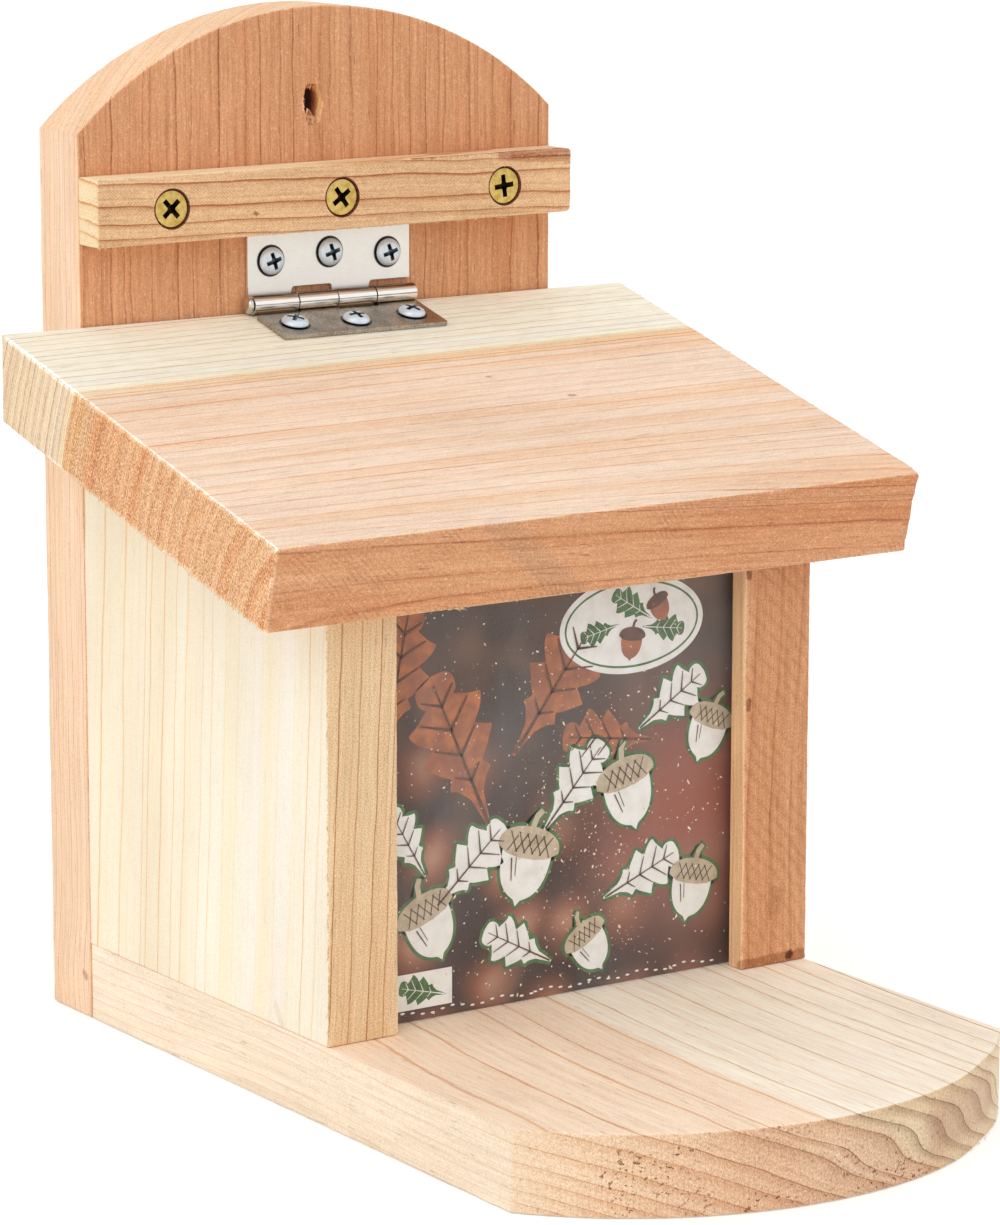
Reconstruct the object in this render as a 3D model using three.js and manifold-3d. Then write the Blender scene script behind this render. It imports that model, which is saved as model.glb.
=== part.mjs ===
// Squirrel feeder box: a hopper of sawn cedar boards under a sloping lid, fixed to an arched back board.
// The lid swings up on a steel butt hinge, and nuts show through a clear sheet held in two grooves.
// Millimetres, +Z up. The front faces -Y. The origin is the middle of the footprint, on the ground.
import * as THREE from "three";
import { mergeVertices } from "three/addons/utils/BufferGeometryUtils.js";
import Module from "manifold-3d";

const wasm = await Module();
wasm.setup();

// Boards
const boardWidth = 145;
const backThickness = 20;
const backHeight = 260;
const backArchRise = 30;
const baseThickness = 20;
const baseReach = 228;
const baseBowRise = 35;
const sideThickness = 20;
const sideDepth = 116;
const sideRearHeight = 139;
const lidThickness = 21.5;
const lidSlopeAngle = THREE.MathUtils.degToRad(15);
const lidSideOverhang = 23.1;
const lidFrontOverhang = 15.5;
const battenHeight = 17;
const battenDepth = 10;

// Hole that the box hangs by, high in the back board
const hangingHole = { width: 5.6, height: 10.6, offset: -2.5, drop: 25.5 };

// Clear front sheet, with a printed card behind it, in a groove in each side panel
const sheetThickness = 2;
const cardThickness = 0.5;
const grooveDepth = 5;
const grooveSetback = 5.5;
const sheetTopGap = 3;

// Clearances
const jointGap = 0.2;
const lidSeatGap = 0.3;
const lidRearGap = 0.8;
const slideGap = 0.3;
const screwGap = 0.3;
const overrun = 2;

// Butt hinge, rolled from steel strip round a pin with a domed head
const hinge = {
  length: 50,
  leafReach: 18,
  leafThickness: 1.1,
  barrelRadius: 2.5,
  pinRadius: 1.1,
  seatGap: 0.2,
  knuckleGap: 0.3,
  notchDepth: 1.3,
  notchRadius: 1,
  rollEndGap: 0.3,
  offset: 1.5,
  holeSpacingShare: 0.36,
  holeReach: 11,
  middleHoleReach: 12.2,
  pinHeadRadius: 2.3,
  pinHeadLength: 1.5,
  pinTailLength: 0.7,
  battenGap: 0.8,
};
const knuckleEndShares = [0, 0.27, 0.51, 0.75, 1];

// Screws
const battenScrew = {
  shankRadius: 2.2,
  length: 25,
  headRadius: 4.7,
  headHeight: 3,
  rimHeight: 0.5,
  tipLength: 5,
  recessSpan: 5.2,
  recessWidth: 1.1,
  recessDepth: 1.6,
  sink: 0.4,
};
const frameScrew = {
  shankRadius: 2,
  length: 40,
  headRadius: 4.2,
  headHeight: 2.8,
  rimHeight: 0.4,
  tipLength: 5,
  recessSpan: 4.6,
  recessWidth: 1,
  recessDepth: 1.5,
  sink: 0.6,
};
const hingeScrew = {
  shankRadius: 1.8,
  length: 16,
  headRadius: 3.6,
  headHeight: 1.7,
  rimHeight: 0.6,
  tipLength: 4,
  recessSpan: 4.4,
  recessWidth: 0.9,
  recessDepth: 1.2,
};
const battenScrewSpacingShare = 0.352;
const sideScrewHeightShares = [0.2, 0.8];
const sideScrewDepthShares = [0.25, 0.75];
const footScrewSpacingShare = 0.497;

// Number of steps round a full turn, and in a half turn of a board's outline
const roundSteps = 16;
const outlineSteps = 20;

// Places that several pieces share, measured from the foot of the back board's rear face
const backFront = -backThickness;
const sideFront = backFront - sideDepth;
const sideCentre = (boardWidth - sideThickness) / 2;
const innerWidth = boardWidth - 2 * sideThickness;
const sideFoot = baseThickness + jointGap;
const slopeDrop = Math.tan(lidSlopeAngle);
const lidRear = backFront - lidRearGap;
const lidLength = (sideDepth + lidFrontOverhang - lidRearGap) / Math.cos(lidSlopeAngle);
const lidTopRearHeight =
  sideFoot + sideRearHeight - lidRearGap * slopeDrop + (lidSeatGap + lidThickness) / Math.cos(lidSlopeAngle);
const pinSeat = hinge.barrelRadius + hinge.seatGap;
const pinDepth = backFront - pinSeat;
const pinHeight =
  lidTopRearHeight + (pinDepth - lidRear) * slopeDrop + pinSeat / Math.cos(lidSlopeAngle);
const battenFoot = pinHeight + hinge.leafReach + hinge.battenGap;
const footprintDepth = backThickness + baseReach;

// Height of the side panels' sloping top edge, or of the lid's underside, at a given depth
const sideTopAt = (depth) => sideFoot + sideRearHeight + (depth - backFront) * slopeDrop;
const lidUndersideAt = (depth) => sideTopAt(depth) + lidSeatGap / Math.cos(lidSlopeAngle);

const X = new THREE.Vector3(1, 0, 0);
const Y = new THREE.Vector3(0, 1, 0);
const Z = new THREE.Vector3(0, 0, 1);
const FORWARD = Y.clone().negate();

// Solids and geometries

function toSolid(geometry) {
  const shell = new THREE.BufferGeometry();
  shell.setAttribute("position", geometry.getAttribute("position"));
  shell.setIndex(geometry.getIndex());
  const merged = mergeVertices(shell);
  return new wasm.Manifold(
    new wasm.Mesh({
      numProp: 3,
      vertProperties: merged.getAttribute("position").array,
      triVerts: new Uint32Array(merged.getIndex().array),
    }),
  );
}

function toGeometry(solid) {
  const { vertProperties, triVerts } = solid.getMesh();
  const geometry = new THREE.BufferGeometry();
  geometry.setAttribute("position", new THREE.BufferAttribute(vertProperties, 3));
  geometry.setIndex(new THREE.BufferAttribute(triVerts, 1));
  geometry.computeVertexNormals();
  return geometry;
}

function cut(geometry, cutters) {
  const solid = cutters.reduce((rest, cutter) => rest.subtract(toSolid(cutter)), toSolid(geometry));
  return toGeometry(solid);
}

function join(geometries) {
  return toGeometry(geometries.map(toSolid).reduce((whole, piece) => whole.add(piece)));
}

function extrude(shape, depth) {
  return new THREE.ExtrudeGeometry(shape, { depth, bevelEnabled: false, curveSegments: outlineSteps / 2 });
}

// An outline drawn in depth and height, extruded across the box and centred on it
function extrudeAcross(shape, width) {
  const geometry = extrude(shape, width);
  geometry.translate(0, 0, -width / 2);
  return geometry.applyMatrix4(new THREE.Matrix4().makeBasis(Y, Z, X));
}

// An outline drawn in width and height, extruded towards the front
function extrudeForward(shape, depth) {
  return extrude(shape, depth).applyMatrix4(new THREE.Matrix4().makeBasis(X, Z, FORWARD));
}

function outline(points) {
  return new THREE.Shape(points.map(([x, y]) => new THREE.Vector2(x, y)));
}

// A board's end shape: square corners at one end, a shallow arc of the given rise at the other
function bowedOutline(width, length, rise) {
  const half = width / 2;
  const radius = (half * half + rise * rise) / (2 * rise);
  const spread = Math.asin(half / radius);
  const shape = outline([
    [-half, 0],
    [half, 0],
  ]);
  shape.lineTo(half, length - rise);
  shape.absarc(0, length - radius, radius, Math.PI / 2 - spread, Math.PI / 2 + spread, false);
  shape.closePath();
  return shape;
}

// Screws

// Half section of a screw, head up, with its head's rim at height zero
function countersunkProfile(screw, gap) {
  const { shankRadius, headRadius, headHeight, rimHeight, length, tipLength } = screw;
  return [
    [headRadius + gap, 0],
    [headRadius + gap, -rimHeight],
    [shankRadius + gap, -headHeight],
    [shankRadius + gap, tipLength - length],
    [0, -length - gap],
  ];
}

function panProfile(screw) {
  const { shankRadius, headRadius, headHeight, rimHeight, length, tipLength } = screw;
  const crownRadiusShare = 0.62;
  return [
    [0, headHeight],
    [headRadius * crownRadiusShare, headHeight],
    [headRadius, rimHeight],
    [headRadius, 0],
    [shankRadius, 0],
    [shankRadius, tipLength - length],
    [0, -length],
  ];
}

function turned(profile) {
  const points = profile.map(([radius, height]) => new THREE.Vector2(radius, height));
  const geometry = new THREE.LatheGeometry(points.reverse(), roundSteps);
  return geometry.rotateX(Math.PI / 2);
}

// The cross recess that a driver turns
function crossRecess(screw, top) {
  const arms = [
    [screw.recessSpan, screw.recessWidth],
    [screw.recessWidth, screw.recessSpan],
  ].map(([span, width]) => new THREE.BoxGeometry(span, width, screw.recessDepth * 2).translate(0, 0, top));
  return join(arms);
}

function countersunkScrew(screw) {
  const body = turned([[0, 0], ...countersunkProfile(screw, 0)]);
  return cut(body, [crossRecess(screw, 0)]);
}

function panScrew(screw) {
  return cut(turned(panProfile(screw)), [crossRecess(screw, screw.headHeight)]);
}

// The hole that a countersunk screw sits in, open above its head
function countersunkHole(screw) {
  const profile = countersunkProfile(screw, screwGap);
  const mouth = screw.headRadius + screwGap;
  return turned([[0, screw.sink + overrun], [mouth, screw.sink + overrun], ...profile]);
}

// The hole for a pan head's shank, open above the surface that the head sits on
function shankHole(screw) {
  const radius = screw.shankRadius + screwGap;
  const profile = [
    [0, overrun],
    [radius, overrun],
    [radius, screw.tipLength - screw.length],
    [0, -screw.length - screwGap],
  ];
  return turned(profile);
}

// Turns a screw that points down so that it points along a direction
function aim(direction) {
  return new THREE.Quaternion().setFromUnitVectors(Z.clone().negate(), direction);
}

function placedAt(geometry, place, direction) {
  const matrix = new THREE.Matrix4().compose(place, aim(direction), new THREE.Vector3(1, 1, 1));
  return geometry.clone().applyMatrix4(matrix);
}

// Each fixing names the boards it passes through, the middle of its head's rim, and where it points
function fixing(name, screw, place, direction, boards) {
  return { name, screw, place, direction, boards };
}

const BOTH_SIDES = [
  ["left", -1],
  ["right", 1],
];

const battenFixings = [-1, 0, 1].map((step, index) => {
  const face = backFront - jointGap - battenDepth;
  const place = new THREE.Vector3(
    step * boardWidth * battenScrewSpacingShare,
    face + battenScrew.sink,
    battenFoot + battenHeight / 2,
  );
  return fixing(`batten_screw_${index + 1}`, battenScrew, place, Y, ["batten", "back_board"]);
});

const backToSideFixings = BOTH_SIDES.flatMap(([side, sign]) =>
  sideScrewHeightShares.map((share, index) => {
    const place = new THREE.Vector3(
      sign * sideCentre,
      -frameScrew.sink,
      sideFoot + sideRearHeight * share,
    );
    const boards = ["back_board", `side_panel_${side}`];
    return fixing(`back_screw_${side}_${index + 1}`, frameScrew, place, FORWARD, boards);
  }),
);

const backToBaseFixings = BOTH_SIDES.map(([side, sign]) => {
  const offset = (sign * boardWidth * footScrewSpacingShare) / 2;
  const place = new THREE.Vector3(offset, -frameScrew.sink, baseThickness / 2);
  return fixing(`foot_screw_${side}`, frameScrew, place, FORWARD, ["back_board", "base_board"]);
});

const baseToSideFixings = BOTH_SIDES.flatMap(([side, sign]) =>
  sideScrewDepthShares.map((share, index) => {
    const place = new THREE.Vector3(sign * sideCentre, backFront - sideDepth * share, frameScrew.sink);
    const boards = ["base_board", `side_panel_${side}`];
    return fixing(`base_screw_${side}_${index + 1}`, frameScrew, place, Z, boards);
  }),
);

// The hinge's screw holes, as distances across the hinge and away from its pin
const holeSpacing = hinge.length * hinge.holeSpacingShare;
const hingeHoles = [
  [-holeSpacing, hinge.holeReach],
  [0, hinge.middleHoleReach],
  [holeSpacing, hinge.holeReach],
];

const upperHingeFixings = hingeHoles.map(([across, reach], index) => {
  const leafFace = backFront - hinge.seatGap - hinge.leafThickness;
  const place = new THREE.Vector3(hinge.offset + across, leafFace - screwGap, pinHeight + reach);
  return fixing(`hinge_screw_upper_${index + 1}`, hingeScrew, place, Y, ["back_board"]);
});

// In the lid's own frame, whose origin is the rear edge of its top face
const pinFromLidEdge = new THREE.Vector3(0, pinDepth - lidRear, pinHeight - lidTopRearHeight).applyAxisAngle(
  X,
  -lidSlopeAngle,
);
const lowerHingeFixings = hingeHoles.map(([across, reach], index) => {
  const leafFace = hinge.seatGap + hinge.leafThickness;
  const place = new THREE.Vector3(hinge.offset + across, pinFromLidEdge.y - reach, leafFace + screwGap);
  return fixing(`hinge_screw_lower_${index + 1}`, hingeScrew, place, Z.clone().negate(), ["lid_board"]);
});

const boxFixings = [
  ...battenFixings,
  ...backToSideFixings,
  ...backToBaseFixings,
  ...baseToSideFixings,
  ...upperHingeFixings,
];

function holeFor({ screw, place, direction }) {
  const hole = screw === hingeScrew ? shankHole(screw) : countersunkHole(screw);
  return placedAt(hole, place, direction);
}

// The cutters for one board, moved into its own frame
function holesIn(board, position, fixings) {
  const back = position.clone().negate();
  return fixings
    .filter(({ boards }) => boards.includes(board))
    .map((each) => holeFor(each).translate(back.x, back.y, back.z));
}

// Pieces

function piece(name, geometry, position, look) {
  const mesh = new THREE.Mesh(geometry, new THREE.MeshStandardMaterial(look));
  mesh.name = name;
  mesh.position.copy(position);
  return mesh;
}

function timber(color) {
  return { color, roughness: 0.8, metalness: 0 };
}

function metal(color, roughness) {
  return { color, roughness, metalness: 1 };
}

function backBoard() {
  const position = new THREE.Vector3();
  const board = extrudeForward(bowedOutline(boardWidth, backHeight, backArchRise), backThickness);
  const radius = hangingHole.width / 2;
  const straight = hangingHole.height / 2 - radius;
  const slot = new THREE.Shape();
  slot.absarc(0, straight, radius, 0, Math.PI, false);
  slot.absarc(0, -straight, radius, Math.PI, 2 * Math.PI, false);
  slot.closePath();
  const slotCutter = extrudeForward(slot, backThickness + 2 * overrun);
  slotCutter.translate(hangingHole.offset, overrun, backHeight - hangingHole.drop);
  const cutters = [slotCutter, ...holesIn("back_board", position, boxFixings)];
  return piece("back_board", cut(board, cutters), position, timber("#d39a6e"));
}

function baseBoard() {
  const position = new THREE.Vector3(0, backFront - jointGap, 0);
  const plan = bowedOutline(boardWidth, baseReach - jointGap, baseBowRise);
  const board = extrude(plan, baseThickness).rotateZ(Math.PI);
  const geometry = cut(board, holesIn("base_board", position, boxFixings));
  return piece("base_board", geometry, position, timber("#e8cba6"));
}

// A side panel, its top cut to the lid's slope, with the groove for the sheet in its inner face
function sidePanel(side, sign) {
  const name = `side_panel_${side}`;
  const position = new THREE.Vector3(sign * sideCentre, backFront - jointGap, sideFoot);
  const depth = sideDepth - jointGap;
  const board = extrudeAcross(
    outline([
      [0, 0],
      [0, sideTopAt(position.y) - sideFoot],
      [-depth, sideTopAt(sideFront) - sideFoot],
      [-depth, 0],
    ]),
    sideThickness,
  );
  const grooveWidth = sheetThickness + cardThickness + 3 * slideGap;
  const groove = new THREE.BoxGeometry(2 * grooveDepth, grooveWidth, 2 * sideRearHeight + 2 * overrun);
  groove.translate((-sign * sideThickness) / 2, grooveSetback + grooveWidth / 2 - depth, 0);
  const cutters = [groove, ...holesIn(name, position, boxFixings)];
  return piece(name, cut(board, cutters), position, timber(sign < 0 ? "#efdcb6" : "#dba77a"));
}

function batten() {
  const position = new THREE.Vector3(0, backFront - jointGap, battenFoot);
  const strip = new THREE.BoxGeometry(boardWidth, battenDepth, battenHeight);
  strip.translate(0, -battenDepth / 2, battenHeight / 2);
  const geometry = cut(strip, holesIn("batten", position, boxFixings));
  return piece("batten", geometry, position, timber("#dcae7c"));
}

// A flat sheet that stands in the two grooves, its front face at the given depth
function grooveSheet(name, thickness, front, look) {
  const width = innerWidth + 2 * (grooveDepth - slideGap);
  const height = lidUndersideAt(front) - sheetTopGap - sideFoot;
  const sheet = new THREE.BoxGeometry(width, thickness, height);
  sheet.translate(0, thickness / 2, height / 2);
  return piece(name, sheet, new THREE.Vector3(0, front, sideFoot), look);
}

function frontSheets() {
  const sheetFront = sideFront + grooveSetback + slideGap;
  const cardFront = sheetFront + sheetThickness + slideGap;
  const clear = { color: "#eef2ee", roughness: 0.1, metalness: 0, transparent: true, opacity: 0.25 };
  return [
    grooveSheet("window_sheet", sheetThickness, sheetFront, clear),
    grooveSheet("label_card", cardThickness, cardFront, { color: "#4a342a", roughness: 0.6, metalness: 0 }),
  ];
}

// Hinge

// Section of one rolled knuckle in the leaf's frame: the pin's axis is the origin, the strip comes
// in along the leaf's back, goes round the pin and ends just short of the strip's own face.
function rollSection(strip) {
  const outer = hinge.barrelRadius;
  const inner = outer - hinge.leafThickness;
  const start = -Math.PI / 2;
  const end = -Math.asin((inner - hinge.rollEndGap) / outer);
  const shape = new THREE.Shape();
  shape.moveTo(strip, -outer);
  shape.absarc(0, 0, outer, start, end, true);
  shape.absarc(0, 0, inner, end, start, false);
  shape.lineTo(strip, -inner);
  shape.closePath();
  return shape;
}

function knuckleSpans() {
  const edges = knuckleEndShares.map((share) => (share - 0.5) * hinge.length);
  return edges.slice(1).map((end, index) => {
    const first = index === 0;
    const last = index === edges.length - 2;
    return [
      edges[index] + (first ? 0 : hinge.knuckleGap / 2),
      end - (last ? 0 : hinge.knuckleGap / 2),
    ];
  });
}

// A notch in the leaf's pin edge that clears a knuckle of the other leaf
function notchCutter([from, to], depth) {
  const half = hinge.length / 2;
  const left = from - (from > -half ? hinge.knuckleGap : overrun);
  const right = to + (to < half ? hinge.knuckleGap : overrun);
  const radius = Math.min(hinge.notchRadius, depth / 2);
  const shape = new THREE.Shape();
  shape.moveTo(left, -overrun);
  shape.lineTo(right, -overrun);
  shape.lineTo(right, depth - radius);
  shape.absarc(right - radius, depth - radius, radius, 0, Math.PI / 2, false);
  shape.absarc(left + radius, depth - radius, radius, Math.PI / 2, Math.PI, false);
  shape.closePath();
  return shape;
}

// One leaf. Its frame has the pin's axis along X, the leaf going up along Y and its face towards Z.
function hingeLeaf(spans, ownKnuckles) {
  const { length, leafReach, leafThickness, barrelRadius, notchDepth } = hinge;
  const plate = new THREE.BoxGeometry(length, leafReach, leafThickness);
  plate.translate(0, leafReach / 2, leafThickness / 2 - barrelRadius);
  const notches = spans
    .filter((span, index) => !ownKnuckles.includes(index))
    .map((span) =>
      extrude(notchCutter(span, barrelRadius + notchDepth), 2 * barrelRadius).translate(0, 0, -2 * barrelRadius),
    );
  const holes = hingeHoles.map(([across, reach]) => {
    const radius = hingeScrew.shankRadius + screwGap;
    const hole = new THREE.CylinderGeometry(radius, radius, 2 * barrelRadius, roundSteps);
    return hole.rotateX(Math.PI / 2).translate(across, reach, -barrelRadius);
  });
  const rolls = spans
    .filter((span, index) => ownKnuckles.includes(index))
    .map(([from, to]) => {
      const roll = extrude(rollSection(barrelRadius), to - from);
      roll.applyMatrix4(new THREE.Matrix4().makeBasis(Y, Z, X));
      return roll.translate(from, 0, 0);
    });
  return join([cut(plate, [...notches, ...holes]), ...rolls]);
}

function hingePin() {
  const half = hinge.length / 2;
  const { pinRadius, pinHeadRadius, pinHeadLength, pinTailLength, knuckleGap } = hinge;
  const head = half + knuckleGap;
  const crownRadiusShare = 0.65;
  const rimLengthShare = 0.4;
  const tailRadiusShare = 0.7;
  const profile = [
    [0, head + pinHeadLength],
    [pinHeadRadius * crownRadiusShare, head + pinHeadLength],
    [pinHeadRadius, head + pinHeadLength * rimLengthShare],
    [pinHeadRadius, head],
    [pinRadius, head],
    [pinRadius, -half],
    [pinRadius * tailRadiusShare, -half - pinTailLength],
    [0, -half - pinTailLength],
  ];
  return turned(profile).rotateY(-Math.PI / 2);
}

const ownKnuckles = { upper: [0, 2], lower: [1, 3] };

function boxHingePieces() {
  const place = new THREE.Vector3(hinge.offset, pinDepth, pinHeight);
  const upright = new THREE.Matrix4().makeBasis(X, Z, FORWARD);
  const leaf = hingeLeaf(knuckleSpans(), ownKnuckles.upper).applyMatrix4(upright);
  return [
    piece("hinge_leaf_upper", leaf, place, metal("#c9c5bc", 0.3)),
    piece("hinge_pin", hingePin(), place, metal("#cfcac0", 0.25)),
  ];
}

// The lid's leaf is turned about to lie face up, so its knuckles are counted from the other end
function lidHingeLeaf() {
  const spans = knuckleSpans().map(([from, to]) => [-to, -from]);
  const flat = new THREE.Matrix4().makeBasis(X.clone().negate(), FORWARD, Z);
  const leaf = hingeLeaf(spans, ownKnuckles.lower).applyMatrix4(flat);
  const place = new THREE.Vector3(hinge.offset, pinFromLidEdge.y, pinFromLidEdge.z);
  return piece("hinge_leaf_lower", leaf, place, metal("#b9b3a8", 0.3));
}

// Lid

function lidBoard() {
  const position = new THREE.Vector3();
  const board = extrudeAcross(
    outline([
      [0, 0],
      [-lidLength, 0],
      [-lidLength, -lidThickness],
      [-lidThickness * slopeDrop, -lidThickness],
    ]),
    boardWidth + 2 * lidSideOverhang,
  );
  const geometry = cut(board, holesIn("lid_board", position, lowerHingeFixings));
  return piece("lid_board", geometry, position, timber("#d9a47a"));
}

// Screws, each its own piece

const screwLooks = new Map([
  [battenScrew, metal("#b58f4a", 0.35)],
  [frameScrew, metal("#b8974f", 0.4)],
  [hingeScrew, metal("#d4d6d8", 0.25)],
]);

function screwPiece({ name, screw, place, direction }) {
  const geometry = screw === hingeScrew ? panScrew(screw) : countersunkScrew(screw);
  const mesh = piece(name, geometry, place, screwLooks.get(screw));
  mesh.quaternion.copy(aim(direction));
  return mesh;
}

// Assembly

function boxGroup() {
  const group = new THREE.Group();
  group.add(backBoard(), baseBoard());
  for (const [side, sign] of BOTH_SIDES) group.add(sidePanel(side, sign));
  group.add(batten(), ...frontSheets(), ...boxHingePieces());
  group.add(...boxFixings.map(screwPiece));
  return group;
}

function lidGroup() {
  const group = new THREE.Group();
  group.position.set(0, lidRear, lidTopRearHeight);
  group.rotation.x = lidSlopeAngle;
  group.add(lidBoard(), lidHingeLeaf(), ...lowerHingeFixings.map(screwPiece));
  return group;
}

const feeder = new THREE.Group();
feeder.name = "squirrel_feeder_box";
feeder.position.y = footprintDepth / 2;
feeder.add(boxGroup(), lidGroup());

export default feeder;
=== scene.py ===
"""Squirrel feeder box: the sawn boards, hinge, screws and front sheets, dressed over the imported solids."""

import math
import random
from collections import namedtuple

import bmesh
import bpy
import numpy as np
from bpy.props import FloatProperty, FloatVectorProperty, IntProperty, PointerProperty
from mathutils import Matrix, Vector, noise


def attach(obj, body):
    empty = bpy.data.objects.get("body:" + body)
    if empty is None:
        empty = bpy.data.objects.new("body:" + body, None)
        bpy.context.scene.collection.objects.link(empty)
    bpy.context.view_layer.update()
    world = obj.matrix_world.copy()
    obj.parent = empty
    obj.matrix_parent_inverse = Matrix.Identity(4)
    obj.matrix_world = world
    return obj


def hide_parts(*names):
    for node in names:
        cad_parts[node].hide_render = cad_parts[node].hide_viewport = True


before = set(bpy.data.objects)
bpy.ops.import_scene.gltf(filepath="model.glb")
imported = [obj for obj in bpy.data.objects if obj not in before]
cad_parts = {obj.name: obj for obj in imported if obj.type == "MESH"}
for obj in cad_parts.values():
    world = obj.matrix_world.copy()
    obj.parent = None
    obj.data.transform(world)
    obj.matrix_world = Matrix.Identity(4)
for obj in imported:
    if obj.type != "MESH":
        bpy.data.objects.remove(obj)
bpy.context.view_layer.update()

bl_info = {
    "name": "Squirrel feeder box",
    "version": (1, 0, 0),
    "blender": (4, 5, 0),
    "location": "View3D > Sidebar > Feeder",
    "description": "Dresses a hinged timber squirrel feeder box with sawn boards, fittings and a stage",
    "category": "Object",
}

MM = 0.001
X, Y, Z = Vector((1, 0, 0)), Vector((0, 1, 0)), Vector((0, 0, 1))


def tint(red, green, blue):
    """A colour given in display steps of 0 to 255, as the linear values that a shader takes."""
    steps = [value / 255 for value in (red, green, blue)]
    return [s / 12.92 if s <= 0.04045 else ((s + 0.055) / 1.055) ** 2.4 for s in steps]


# Sizes that the boards share, in millimetres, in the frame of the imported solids
BOARD_WIDTH = 145
BACK_FRONT, BACK_REAR = 104, 124
BACK_HEIGHT, BACK_ARCH_RISE = 260, 30
BASE_REAR, BASE_FRONT, BASE_BOW_RISE, BASE_THICKNESS = 103.8, -124, 35, 20
PANEL_FRONT, PANEL_FOOT, PANEL_THICKNESS = -12, 20.1, 20
PANEL_REAR_TOP = 159.146
LID_SLOPE = math.radians(15)
LID_FORWARD = Vector((0, -math.cos(LID_SLOPE), -math.sin(LID_SLOPE)))
LID_UPWARD = Vector((0, -math.sin(LID_SLOPE), math.cos(LID_SLOPE)))
LID_REAR_EDGE = Vector((0, 103.2, 181.555))
LID_LENGTH, LID_WIDTH, LID_THICKNESS = 135.3, 191.2, 21.5
BATTEN_FOOT, BATTEN_HEIGHT, BATTEN_DEPTH = 202.64, 17, 10
GROOVE_FRONT, GROOVE_WIDTH, GROOVE_DEPTH = -6.5, 3.4, 5
SHEET_FRONT, CARD_FRONT = -6.2, -3.9
PIN_AXIS = Vector((1.5, 101.3, 183.841))
BATTEN_SCREW_STEP, FOOT_SCREW_OFFSET = 0.352 * BOARD_WIDTH, 0.497 * BOARD_WIDTH / 2
PANEL_MIDDLE = (BOARD_WIDTH - PANEL_THICKNESS) / 2
PANEL_HEIGHT, PANEL_DEPTH = 139, 116
FRAME_SINK, BATTEN_SINK = 0.6, 0.4
HINGE_SCREW_SPOTS = ((-18, 11), (0, 12.2), (18, 11))
PIN_STANDOFF, PAN_STANDOFF = 2.7, 1.6
INK_STEP, INK_THICKNESS, WINDOW_TOP = 0.026, 0.02, 126
DUST_REACH, DUST_FOOT = 51, 22
SMOOTH_ANGLE = 38


def colour(name, description, red, green, blue):
    return FloatVectorProperty(
        name=name, description=description, subtype="COLOR", size=3, min=0, max=1, default=tint(red, green, blue)
    )


def length(name, description, millimetres):
    return FloatProperty(
        name=name, description=description, default=millimetres * MM, min=0, unit="LENGTH", subtype="DISTANCE"
    )


class FeederSizes(bpy.types.PropertyGroup):
    """Sizes that can change without touching the solids underneath."""

    arris: length("Arris", "How far a board's sharp edges are worn round", 0.45)
    tear: length("Tear", "How deep the saw tore the edges across the grain", 0.7)
    outline_step: length("Outline step", "Spacing of the points along a board's outline", 0.9)
    sheet_edge: length("Sheet edge", "Bevel on the clear sheet's edges", 0.25)
    dust_count: IntProperty(name="Dust", description="Number of dust specks on the clear sheet", default=1300, min=0)


class FeederColours(bpy.types.PropertyGroup):
    """Colours of the timbers, the metals and the print."""

    heart_early: colour("Heartwood", "Early wood of the salmon boards", 220, 160, 117)
    heart_late: colour("Heartwood rings", "Late wood of the salmon boards", 172, 103, 66)
    base_early: colour("Base", "Early wood of the base board's heart", 226, 182, 146)
    base_late: colour("Base rings", "Late wood of the base board", 190, 136, 98)
    sap_early: colour("Sapwood", "Early wood of the cream sapwood", 231, 203, 166)
    sap_late: colour("Sapwood rings", "Late wood of the cream sapwood", 158, 128, 96)
    pale_early: colour("Pale panel", "Early wood of the pale side panel", 240, 208, 166)
    pale_late: colour("Pale panel rings", "Late wood of the pale side panel", 194, 138, 86)
    batten_early: colour("Batten", "Early wood of the batten", 237, 196, 152)
    batten_late: colour("Batten rings", "Late wood of the batten", 192, 124, 76)
    fibre: colour("Torn fibre", "Fibres torn loose along the edges", 244, 214, 176)
    steel: colour("Hinge steel", "Bare steel of the hinge", 216, 211, 202)
    bright_zinc: colour("Bright zinc", "Plating of the hinge's screws", 224, 233, 242)
    yellow_zinc: colour("Yellow zinc", "Plating of the wood screws", 212, 184, 112)
    card_dark: colour("Card ground", "Darkest tone of the printed card", 66, 56, 52)
    card_russet: colour("Card russet", "Warm tone of the printed card", 150, 92, 66)
    card_white: colour("Card white", "Pale shapes printed on the card", 246, 245, 241)
    card_green: colour("Card green", "Leaves and outlines printed on the card", 84, 122, 66)


class FeederStage(bpy.types.PropertyGroup):
    """Light, floor and view."""

    sky: FloatProperty(name="Sky", description="Strength of the even light all round", default=0.9, min=0)
    key: FloatProperty(
        name="Key lamp", description="Power of the large lamp at the left", default=10.5, min=0, unit="POWER"
    )
    floor: colour("Floor", "Plain pale floor", 244, 244, 243)


# Shapes


def soft_outline(corners, step):
    """A closed outline through (x, y, corner radius) points, its corners rounded, with points a step apart."""
    count = len(corners)
    points = []
    for index, (x, y, radius) in enumerate(corners):
        here = Vector((x, y))
        before = Vector(corners[index - 1][:2])
        after = Vector(corners[(index + 1) % count][:2])
        if not radius:
            points.append(here)
            continue
        inward = (before - here).normalized()
        onward = (after - here).normalized()
        for share in (0, 0.2, 0.4, 0.6, 0.8, 1):
            points.append(here + inward * radius * (1 - share) ** 2 + onward * radius * share**2)
    outline = []
    for index, point in enumerate(points):
        following = points[(index + 1) % len(points)]
        pieces = max(1, round((following - point).length / step))
        outline += [point.lerp(following, part / pieces) for part in range(pieces)]
    return outline


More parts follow.
